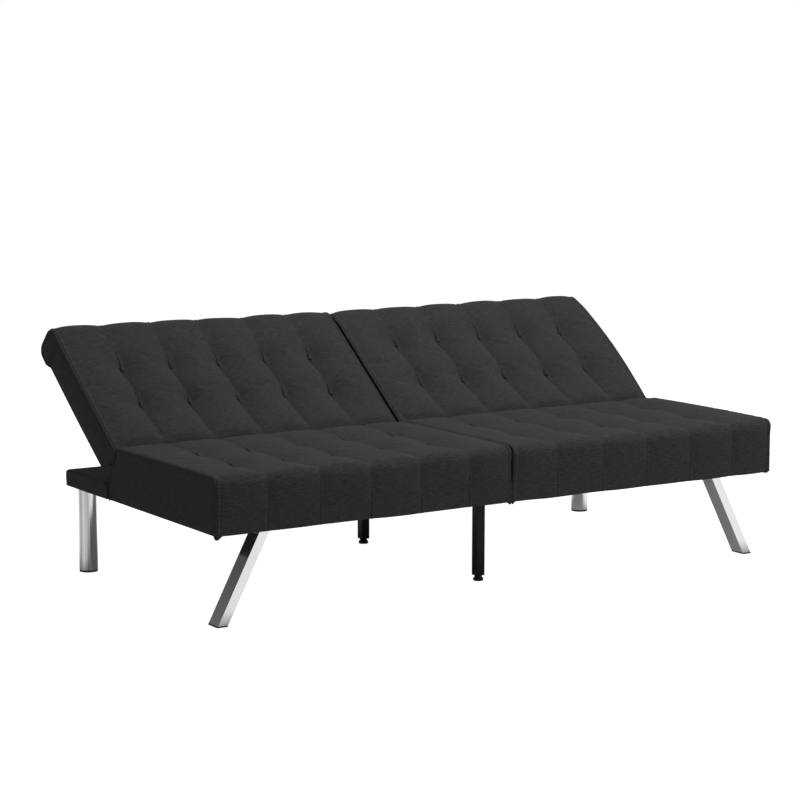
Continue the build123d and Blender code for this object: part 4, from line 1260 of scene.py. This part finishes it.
def rear_linings():
    """The lining stapled over each back's rear."""
    sizes, cushion = fastenings(), settings()
    rear = NOSE_RADIUS - cushion.back_thickness

    def behind(u, v, height):
        return np.column_stack((u, in_the_back(np.column_stack((v, rear - REAR_GAP - height)))))

    def sag(u, v):
        ripples = np.sin(19 * u + 2 * np.sin(11 * v)) * np.sin(17 * v + 1)
        return 0.0003 + 0.0003 * ripples

    away = (0, *(-OUT_OF_THE_BACK))
    for name in SIDES:
        low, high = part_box(f"{name}_back_rear_panel")
        low_v, high_v = 0.034, cushion.back_reach - cushion.rear_wrap + 0.002
        us, vs = grid_lines(low.x, high.x, SHEET_CELL, []), grid_lines(low_v, high_v, SHEET_CELL, [])
        mesh, area = sheet_mesh(f"{name}_rear_lining", us, vs, sag, [], behind)
        piece = add_piece(f"{name}_rear_lining", mesh, f"{name}_back", "black_lining")
        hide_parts(f"{name}_back_rear_panel")
        height = sizes.lining + 0.0003
        rows = staple_paths(low.x, high.x, low_v, high_v, 0.008, behind, away, height)
        staple(f"{name}_back_staples", rows, f"{name}_back")


def turned_mesh(name, profile, centre, sides=40):
    """A closed turned form from a profile of (radius, height) points, from bottom middle to top middle."""
    turns = 2 * pi * np.arange(sides) / sides
    round_about = np.column_stack((np.cos(turns), np.sin(turns), np.zeros(sides)))
    points = np.vstack([radius * round_about + (*centre, height) for radius, height in profile])
    faces = []
    for ring in range(len(profile) - 1):
        for j in range(sides):
            k = (j + 1) % sides
            faces.append((ring * sides + j, ring * sides + k, (ring + 1) * sides + k, (ring + 1) * sides + j))
    return face_outwards(mesh_of(name, points, faces))


def glide_pads():
    """The centre legs' moulded glides: a pad with rounded edges and a hub around its stud."""
    leg_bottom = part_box("centre_legs")[0].z
    for name in ("front", "rear"):
        low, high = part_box(f"{name}_glide_pad")
        centre = ((low.x + high.x) / 2, (low.y + high.y) / 2)
        radius, top = (high.x - low.x) / 2, high.z
        edge, hub, hub_top = 0.0012, 0.76 * radius, leg_bottom - STUD_PLAY
        profile = [(0, 0), (radius - edge, 0), (radius - edge / 3, edge / 3), (radius, edge)]
        profile += [(radius, top - edge), (radius - edge / 3, top - edge / 3), (radius - edge, top)]
        profile += [(hub + edge, top + 0.0003), (hub, top + 0.0014), (hub - 0.0006, hub_top - 0.0010)]
        profile += [(hub - 0.0016, hub_top), (0, hub_top)]
        mesh = turned_mesh(f"{name}_glide_foot", profile, centre)
        piece = add_piece(f"{name}_glide_foot", mesh, f"{name}_glide", "black_plastic")
        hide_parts(f"{name}_glide_pad")


# ---- Materials ----

class Nodes:
    """A short way to place and join nodes in a material or a group."""

    def __init__(self, tree):
        self.tree = tree

    def add(self, kind, **values):
        node = self.tree.nodes.new(kind)
        for name, value in values.items():
            setattr(node, name, value)
        return node

    def join(self, start, end):
        self.tree.links.new(start, end)

    def give(self, socket, value):
        """Link a socket to another one, or set its value."""
        if isinstance(value, bpy.types.NodeSocket):
            self.join(value, socket)
        else:
            socket.default_value = value

    def feed(self, node, **inputs):
        """Set or link inputs by name, with _ for a space."""
        for name, value in inputs.items():
            self.give(node.inputs[name.replace("_", " ")], value)
        return node

    def put(self, kind, **inputs):
        """A new node with its inputs set or linked by name."""
        return self.feed(self.add(kind), **inputs)

    def vector(self, **parts):
        """A vector with its X, Y or Z set or linked."""
        return self.put("ShaderNodeCombineXYZ", **parts).outputs[0]

    def parts(self, vector):
        """A vector's X, Y and Z."""
        node = self.add("ShaderNodeSeparateXYZ")
        self.join(vector, node.inputs[0])
        return node.outputs

    def math(self, operation, first, second=0.5, third=0.5):
        node = self.add("ShaderNodeMath", operation=operation)
        for socket, value in zip(node.inputs, (first, second, third)):
            self.give(socket, value)
        return node.outputs[0]

    def noise(self, vector, scale, detail=2.0, roughness=0.5):
        node = self.put("ShaderNodeTexNoise", Vector=vector, Scale=scale, Detail=detail, Roughness=roughness)
        return node.outputs["Fac"]

    def stretch(self, vector, scale):
        node = self.add("ShaderNodeVectorMath", operation="MULTIPLY")
        self.join(vector, node.inputs[0])
        node.inputs[1].default_value = scale
        return node.outputs[0]

    def blend(self, factor, first, second):
        """A mix of two colours."""
        node = self.add("ShaderNodeMix", data_type="RGBA")
        sockets = [s for s in node.inputs if s.enabled]
        for socket, value in zip(sockets, (factor, (*first, 1.0), (*second, 1.0))):
            self.give(socket, value)
        return next(s for s in node.outputs if s.enabled)

    def bands(self, factor, stops):
        """A grey level that follows stops of (place, level)."""
        node = self.add("ShaderNodeValToRGB")
        line = node.color_ramp.elements
        line.remove(line[-1])
        line[0].position = stops[0][0]
        for place, level in stops:
            stop = line[0] if place == stops[0][0] else line.new(place)
            stop.color = (level, level, level, 1)
        self.join(factor, node.inputs[0])
        return node.outputs[0]

    def ramp(self, factor, low, high):
        return self.put("ShaderNodeMapRange", Value=factor, From_Min=low, From_Max=high).outputs[0]


def group(name, inputs, outputs):
    """A new shader node group with named number, vector and colour sockets."""
    tree = bpy.data.node_groups.new(name, "ShaderNodeTree")
    for socket, kind, value in inputs:
        made = tree.interface.new_socket(socket, in_out="INPUT", socket_type=kind)
        if value is not None:
            made.default_value = value
    for socket, kind in outputs:
        tree.interface.new_socket(socket, in_out="OUTPUT", socket_type=kind)
    nodes = Nodes(tree)
    return nodes, nodes.add("NodeGroupInput"), nodes.add("NodeGroupOutput")


def linen_group():
    """Plain weave of heathered linen: a height, and how light each thread is. The vector is in metres."""
    nodes, given, result = group(
        "linen_weave",
        [("Vector", "NodeSocketVector", None), ("Pitch", "NodeSocketFloat", 0.0009)],
        [("Height", "NodeSocketFloat"), ("Lightness", "NodeSocketFloat")],
    )
    place = given.outputs["Vector"]
    across = nodes.parts(place)
    turns = nodes.math("DIVIDE", 2 * pi, given.outputs["Pitch"])
    warp, weft = (nodes.math("SINE", nodes.math("MULTIPLY", across[axis], turns)) for axis in ("X", "Y"))
    height = nodes.math("MULTIPLY_ADD", nodes.math("MULTIPLY", warp, weft), 0.5, 0.5)
    slub_weft = nodes.noise(nodes.stretch(place, (60, 900, 1)), 1.0, 3.0, 0.6)
    slub_warp = nodes.noise(nodes.stretch(place, (1000, 130, 1)), 1.0, 2.0, 0.6)
    streak = nodes.noise(nodes.stretch(place, (48, 330, 1)), 1.0, 2.0, 0.6)
    fleck = nodes.noise(nodes.stretch(place, (210, 430, 1)), 1.0, 2.0, 0.7)
    mixed = nodes.math("MULTIPLY", slub_warp, 0.14)
    for marks, share in ((slub_weft, 0.22), (fleck, 0.30), (streak, 0.34)):
        mixed = nodes.math("MULTIPLY_ADD", marks, share, mixed)
    nodes.join(nodes.ramp(mixed, 0.38, 0.62), result.inputs["Lightness"])
    nodes.join(nodes.math("MULTIPLY_ADD", slub_weft, 0.7, height), result.inputs["Height"])
    return nodes.tree


def grain_group():
    """Fine and broad unevenness of a hard surface, as two masks and a height."""
    nodes, given, result = group(
        "surface_grain",
        [
            ("Vector", "NodeSocketVector", None),
            ("Fine scale", "NodeSocketFloat", 900.0),
            ("Broad scale", "NodeSocketFloat", 14.0),
        ],
        [("Fine", "NodeSocketFloat"), ("Broad", "NodeSocketFloat"), ("Height", "NodeSocketFloat")],
    )
    fine = nodes.noise(given.outputs["Vector"], given.outputs["Fine scale"], 3.0, 0.6)
    broad = nodes.noise(given.outputs["Vector"], given.outputs["Broad scale"], 3.0, 0.55)
    height = nodes.math("MULTIPLY_ADD", fine, 0.7, nodes.math("MULTIPLY", broad, 0.3))
    nodes.feed(result, Fine=fine, Broad=broad, Height=height)
    return nodes.tree


def shader(name):
    """A new material with its nodes, its Principled shader and nothing else."""
    material = bpy.data.materials.new(name)
    material.use_nodes = True
    nodes = Nodes(material.node_tree)
    return material, nodes, material.node_tree.nodes["Principled BSDF"]


def placed(nodes, tree, vector, **inputs):
    """A shader node group in a material, with its own values."""
    return nodes.feed(nodes.add("ShaderNodeGroup", node_tree=tree), Vector=vector, **inputs)


def bump(nodes, bsdf, height, distance, strength=1.0):
    node = nodes.put("ShaderNodeBump", Height=height, Distance=distance, Strength=strength)
    nodes.join(node.outputs[0], bsdf.inputs["Normal"])


def linen_material(weave):
    material, nodes, bsdf = shader("charcoal_linen")
    paint = colours()
    uv = nodes.add("ShaderNodeUVMap", uv_map="Fabric").outputs["UV"]
    threads = placed(nodes, weave, uv, Pitch=0.0010)
    light = threads.outputs["Lightness"]
    nodes.feed(
        bsdf,
        Base_Color=nodes.blend(light, paint.linen_dark[:], paint.linen_light[:]),
        Roughness=nodes.math("MULTIPLY_ADD", light, -0.10, 0.93),
        Specular_IOR_Level=0.25,
        Sheen_Weight=0.10,
        Sheen_Roughness=0.5,
    )
    bump(nodes, bsdf, threads.outputs["Height"], 0.00045, 0.8)
    return material


def hard_material(name, grain, pair, rough, depth, metallic=0.0, shine=0.3, stretch=(1, 1, 1), **scales):
    """Metal, paint, plastic or board: a pair of colours mixed by its grain, with its roughness and height."""
    material, nodes, bsdf = shader(name)
    vector = nodes.stretch(nodes.add("ShaderNodeTexCoord").outputs["Object"], stretch)
    marks = placed(nodes, grain, vector, **scales).outputs
    share = nodes.math("MULTIPLY_ADD", marks["Fine"], 0.5, nodes.math("MULTIPLY", marks["Broad"], 0.5))
    nodes.feed(
        bsdf,
        Base_Color=nodes.blend(nodes.ramp(share, 0.35, 0.65), *pair),
        Roughness=nodes.math("MULTIPLY_ADD", marks["Broad"], rough[1] - rough[0], rough[0]),
        Metallic=metallic,
        Specular_IOR_Level=shine,
    )
    bump(nodes, bsdf, marks["Height"], depth)
    return material


# The hard finishes by material slot: the material's name, its roughness from and to, the height of its grain,
# and whatever isn't as usual. A stretch draws the grain out along X, and the scales are those of its marks.
HARD_FINISHES = {
    "thread": ("sewing_thread", (0.7, 0.9), 0.0001, {"Fine_scale": 2600.0}),
    "chrome": (
        "polished_chrome", (0.05, 0.13), 0.000004, {"metallic": 1.0, "Fine_scale": 300.0, "Broad_scale": 9.0}
    ),
    "black_steel": ("black_powder_coat", (0.26, 0.44), 0.00006, {"shine": 0.12, "Fine_scale": 1400.0}),
    "black_plastic": ("black_plastic", (0.38, 0.56), 0.00004, {"Fine_scale": 2200.0}),
    "black_plate": ("blackened_plate", (0.34, 0.55), 0.00004, {"metallic": 0.6, "Fine_scale": 1600.0}),
    "zinc_steel": (
        "zinc_plate", (0.25, 0.42), 0.00003, {"metallic": 1.0, "Fine_scale": 700.0, "Broad_scale": 60.0}
    ),
    "spring_steel": ("spring_wire", (0.25, 0.38), 0.00001, {"metallic": 1.0}),
    "pine": ("pine", (0.60, 0.78), 0.00012, {"stretch": (1, 9, 12), "Fine_scale": 60.0, "Broad_scale": 12.0}),
    "plywood": (
        "plywood", (0.62, 0.80), 0.0001, {"stretch": (1, 8, 40), "Fine_scale": 50.0, "Broad_scale": 6.0}
    ),
    "hardboard": ("hardboard", (0.55, 0.72), 0.00008, {"Fine_scale": 1200.0}),
    "foam": ("foam", (0.85, 0.95), 0.0004, {"Fine_scale": 1500.0}),
    "black_lining": ("lining_cloth", (0.80, 0.95), 0.0002, {"Fine_scale": 1900.0, "Broad_scale": 120.0}),
}


def make_materials():
    """Every finish, by the name of the material slot that it belongs to."""
    paint = colours()
    weave, grain = linen_group(), grain_group()
    black = (paint.black_paint[:], tuple(1.8 * c for c in paint.black_paint))
    pairs = {
        "thread": (paint.thread[:], paint.linen_light[:]),
        "chrome": (paint.chrome[:], tuple(0.9 * c for c in paint.chrome)),
        "black_steel": black,
        "black_plastic": black,
        "black_plate": (paint.black_paint[:], (0.03, 0.03, 0.032)),
        "zinc_steel": ((0.50, 0.51, 0.53), (0.36, 0.37, 0.40)),
        "spring_steel": ((0.30, 0.29, 0.28), (0.18, 0.18, 0.18)),
        "pine": (paint.pine[:], tuple(c * share for c, share in zip(paint.pine, (0.72, 0.62, 0.5)))),
        "plywood": ((0.50, 0.36, 0.20), (0.38, 0.25, 0.13)),
        "hardboard": ((0.21, 0.12, 0.06), (0.13, 0.075, 0.04)),
        "foam": ((0.78, 0.72, 0.50), (0.66, 0.60, 0.40)),
        "black_lining": (paint.lining[:], (0.022, 0.022, 0.023)),
    }
    made = {"charcoal_fabric": linen_material(weave)}
    for slot, (name, rough, depth, rest) in HARD_FINISHES.items():
        made[slot] = hard_material(name, grain, pairs[slot], rough, depth, **rest)
    return made


MATERIALS = {}


def finish_of(slot):
    if not MATERIALS:
        MATERIALS.update(make_materials())
    return MATERIALS[slot]


# ---- Operators ----

class FUTON_OT_seats(bpy.types.Operator):
    """Pad the two seat halves, with their sewn channels, tufts and welts"""

    bl_idname = "futon.seats"
    bl_label = "Seat cushions"

    def execute(self, context):
        paths = []
        for side_name, side in SIDES.items():
            pad = seat_cushion(side_name, side)
            paths += sewn_paths(pad, 4, pad.corners[2])
        stitch("seat_stitches", paths, "base")
        return {"FINISHED"}


class FUTON_OT_backs(bpy.types.Operator):
    """Pad the two backs, with their sewn channels, tufts and welts"""

    bl_idname = "futon.backs"
    bl_label = "Back cushions"

    def execute(self, context):
        for side_name, side in SIDES.items():
            pad = back_cushion(side_name, side)
            paths = sewn_paths(pad, pad.corners[1] + 10, pad.corners[3])
            stitch(f"{side_name}_back_stitches", paths, f"{side_name}_back")
        return {"FINISHED"}


class FUTON_OT_shelves(bpy.types.Operator):
    """Cover the base behind the seat"""

    bl_idname = "futon.shelves"
    bl_label = "Shelf covers"

    def execute(self, context):
        for side_name, side in SIDES.items():
            shelf_pad(side_name, side)
        return {"FINISHED"}


class FUTON_OT_linings(bpy.types.Operator):
    """Staple the linings under the base and behind the backs"""

    bl_idname = "futon.linings"
    bl_label = "Linings and staples"

    def execute(self, context):
        dust_sheets()
        rear_linings()
        return {"FINISHED"}


class FUTON_OT_bolts(bpy.types.Operator):
    """Give the bolts their six-sided heads, and each pawl its own spring"""

    bl_idname = "futon.bolts"
    bl_label = "Bolts and springs"

    def execute(self, context):
        replace_bolts("base_bolts", ["leg_bolts", "hinge_seat_bolts"], "base")
        for name in SIDES:
            replace_bolts(f"{name}_back_bolts", [f"{name}_hinge_back_bolts"], f"{name}_back")
        part_springs()
        return {"FINISHED"}


class FUTON_OT_glides(bpy.types.Operator):
    """Mould the centre legs' glides"""

    bl_idname = "futon.glides"
    bl_label = "Glides"

    def execute(self, context):
        glide_pads()
        return {"FINISHED"}


class FUTON_OT_finishes(bpy.types.Operator):
    """Give every part of the frame its finish"""

    bl_idname = "futon.finishes"
    bl_label = "Finishes of the frame"

    def execute(self, context):
        for entry in frame["record"]["subparts"]:
            node = frame["nodes"][entry["node"]]
            node.data.materials.clear()
            node.data.materials.append(finish_of(entry["material_slot"]))
        return {"FINISHED"}


class FUTON_OT_stage(bpy.types.Operator):
    """Set up the floor, the lights and the camera"""

    bl_idname = "futon.stage"
    bl_label = "Floor, lights and camera"

    def execute(self, context):
        make_floor()
        make_lights()
        make_world()
        make_camera()
        return {"FINISHED"}


# Painted reflection: white and grey bands in the floor's glow, standing in for cards around the sofa, as (share of
# a turn from -X, level). Only glossy rays see this glow, so only the chrome shows them.
PAINTED_REFLECTION_BANDS = [
    (0.000, 0.52),
    (0.022, 0.50),
    (0.034, 1.00),
    (0.048, 0.50),
    (0.139, 0.42),
    (0.206, 0.24),
    (0.220, 0.72),
    (0.240, 0.80),
    (0.500, 0.85),
    (0.830, 0.62),
    (0.905, 0.24),
    (0.960, 0.50),
]


# Each light's place, the point it faces, its width and height, and its power in watts.
LIGHTS = {
    "overhead_softbox": ((0.5, -0.6, 3.8), (0, 0, 0.3), (3.0, 2.4), 80),
    "front_softbox": ((2.6, -4.8, 2.4), (0, 0, 0.3), (2.6, 2.2), 50),
    "rear_softbox": ((0.8, 4.5, 3.0), (0, 0, 0.4), (4.0, 2.0), 27),
}


def make_floor():
    """A pale floor that keeps the shadow. Its glow to glossy rays is a painted reflection, with painted shade that
    makes it darker beside and under the sofa.
    """
    size, shade_start, shade_end = 30.0, -0.08, 0.12
    corners = [(-size, -size, 0), (size, -size, 0), (size, size, 0), (-size, size, 0)]
    mesh = mesh_of("floor", corners, [(0, 1, 2, 3)])
    floor = bpy.data.objects.new("floor", mesh)
    bpy.context.scene.collection.objects.link(floor)
    material, nodes, bsdf = shader("pale_floor")
    nodes.feed(bsdf, Base_Color=(0.50, 0.50, 0.50, 1), Roughness=0.9)
    path = nodes.add("ShaderNodeLightPath").outputs
    place = nodes.parts(nodes.add("ShaderNodeTexCoord").outputs["Object"])
    # Painted shade for reflections: the glow is nothing over the sofa's footprint and rises to full a little
    # beyond its edges. Under the sofa it stays low, lighter towards +X.
    beside = nodes.math("SUBTRACT", nodes.math("ABSOLUTE", place["X"]), HALF_LENGTH)
    before = nodes.math("SUBTRACT", nodes.math("ABSOLUTE", place["Y"]), -FRONT)
    away = nodes.ramp(nodes.math("MAXIMUM", beside, before), shade_start, shade_end)
    under = nodes.math("MULTIPLY_ADD", nodes.ramp(place["X"], -HALF_LENGTH, HALF_LENGTH), 0.16, 0.07)
    away = nodes.math("MAXIMUM", away, under)
    leg_low, leg_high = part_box("left_rear_leg")
    middle = (leg_low + leg_high) / 2
    from_leg = [nodes.math("SUBTRACT", place[axis], middle[axis]) for axis in (1, 0)]
    turn = nodes.math("MULTIPLY_ADD", nodes.math("ARCTAN2", *from_leg), 1 / (2 * pi), 0.5)
    # Painted reflection: a glow that only glossy rays see, in bands around the left rear leg, dimmed by the
    # painted shade above.
    shown = nodes.math("MULTIPLY", away, nodes.bands(turn, PAINTED_REFLECTION_BANDS))
    mirrored = nodes.math("MULTIPLY", shown, path["Is Glossy Ray"])
    strength = nodes.math("MULTIPLY_ADD", path["Is Camera Ray"], 0.97, mirrored)
    glow = nodes.put("ShaderNodeEmission", Strength=strength)
    both = nodes.add("ShaderNodeAddShader")
    nodes.join(bsdf.outputs[0], both.inputs[0])
    nodes.join(glow.outputs[0], both.inputs[1])
    nodes.join(both.outputs[0], material.node_tree.nodes["Material Output"].inputs["Surface"])
    mesh.materials.append(material)


def make_lights():
    for name, (place, aim, size, power) in LIGHTS.items():
        data = bpy.data.lights.new(name, "AREA")
        data.shape, data.size, data.size_y, data.energy = "RECTANGLE", size[0], size[1], power
        light = bpy.data.objects.new(name, data)
        light.location = place
        light.rotation_mode = "QUATERNION"
        light.rotation_quaternion = (Vector(aim) - Vector(place)).to_track_quat("-Z", "Y")
        bpy.context.scene.collection.objects.link(light)


def make_world():
    """White to the camera. Reflections show a pale horizon under a dark ceiling."""
    world = bpy.data.worlds.new("studio")
    bpy.context.scene.world = world
    world.use_nodes = True
    nodes = Nodes(world.node_tree)
    background = world.node_tree.nodes["Background"]
    path = nodes.add("ShaderNodeLightPath").outputs
    way = nodes.parts(nodes.add("ShaderNodeTexCoord").outputs["Generated"])
    horizon = nodes.math("MULTIPLY", nodes.ramp(way["Z"], 0.27, 0.06), 0.75)
    mirrored = nodes.math("MULTIPLY", horizon, path["Is Glossy Ray"])
    seen = nodes.math("MAXIMUM", path["Is Camera Ray"], path["Is Transmission Ray"])
    level = nodes.math("ADD", nodes.math("MULTIPLY_ADD", seen, 0.91, 0.09), mirrored)
    nodes.feed(background, Color=(1, 1, 1, 1), Strength=level)


def make_camera():
    place = Vector((-3.7386, -5.7837, 1.4502))
    yaw, pitch, roll = radians(32.6467), radians(8.227), radians(0.1452)
    forward = Vector((sin(yaw) * cos(pitch), cos(yaw) * cos(pitch), -sin(pitch)))
    level = Vector((cos(yaw), -sin(yaw), 0))
    upright = level.cross(forward)
    right = level * cos(roll) + upright * sin(roll)
    up = upright * cos(roll) - level * sin(roll)
    data = bpy.data.cameras.new("camera")
    data.sensor_width, data.lens, data.clip_end = 36, 111.0, 200
    camera = bpy.data.objects.new("camera", data)
    camera.matrix_world = Matrix.Translation(place) @ Matrix((right, up, -forward)).transposed().to_4x4()
    scene = bpy.context.scene
    scene.collection.objects.link(camera)
    scene.camera = camera
    scene.view_settings.view_transform = "Standard"


STEPS = [
    FUTON_OT_finishes,
    FUTON_OT_seats,
    FUTON_OT_backs,
    FUTON_OT_shelves,
    FUTON_OT_linings,
    FUTON_OT_bolts,
    FUTON_OT_glides,
    FUTON_OT_stage,
]
GROUPS = {"futon_cushions": FutonCushions, "futon_fastenings": FutonFastenings, "futon_colours": FutonColours}


class FUTON_PT_panel(bpy.types.Panel):
    """The futon's steps and sizes"""

    bl_idname = "FUTON_PT_panel"
    bl_label = "Futon"
    bl_space_type = "VIEW_3D"
    bl_region_type = "UI"
    bl_category = "Futon"

    def draw(self, context):
        for step in STEPS:
            self.layout.operator(step.bl_idname)
        for group_name, kind in GROUPS.items():
            for name in kind.__annotations__:
                self.layout.prop(getattr(context.scene, group_name), name)


CLASSES = [*GROUPS.values(), *STEPS, FUTON_PT_panel]


def register():
    for cls in CLASSES:
        bpy.utils.register_class(cls)
    for name, kind in GROUPS.items():
        setattr(bpy.types.Scene, name, PointerProperty(type=kind))


def unregister():
    for name in GROUPS:
        delattr(bpy.types.Scene, name)
    for cls in reversed(CLASSES):
        bpy.utils.unregister_class(cls)


def main():
    register()
    bpy.ops.futon.finishes()
    bpy.ops.futon.seats()
    bpy.ops.futon.backs()
    bpy.ops.futon.shelves()
    bpy.ops.futon.linings()
    bpy.ops.futon.bolts()
    bpy.ops.futon.glides()
    bpy.ops.futon.stage()


if __name__ == "__main__":
    main()
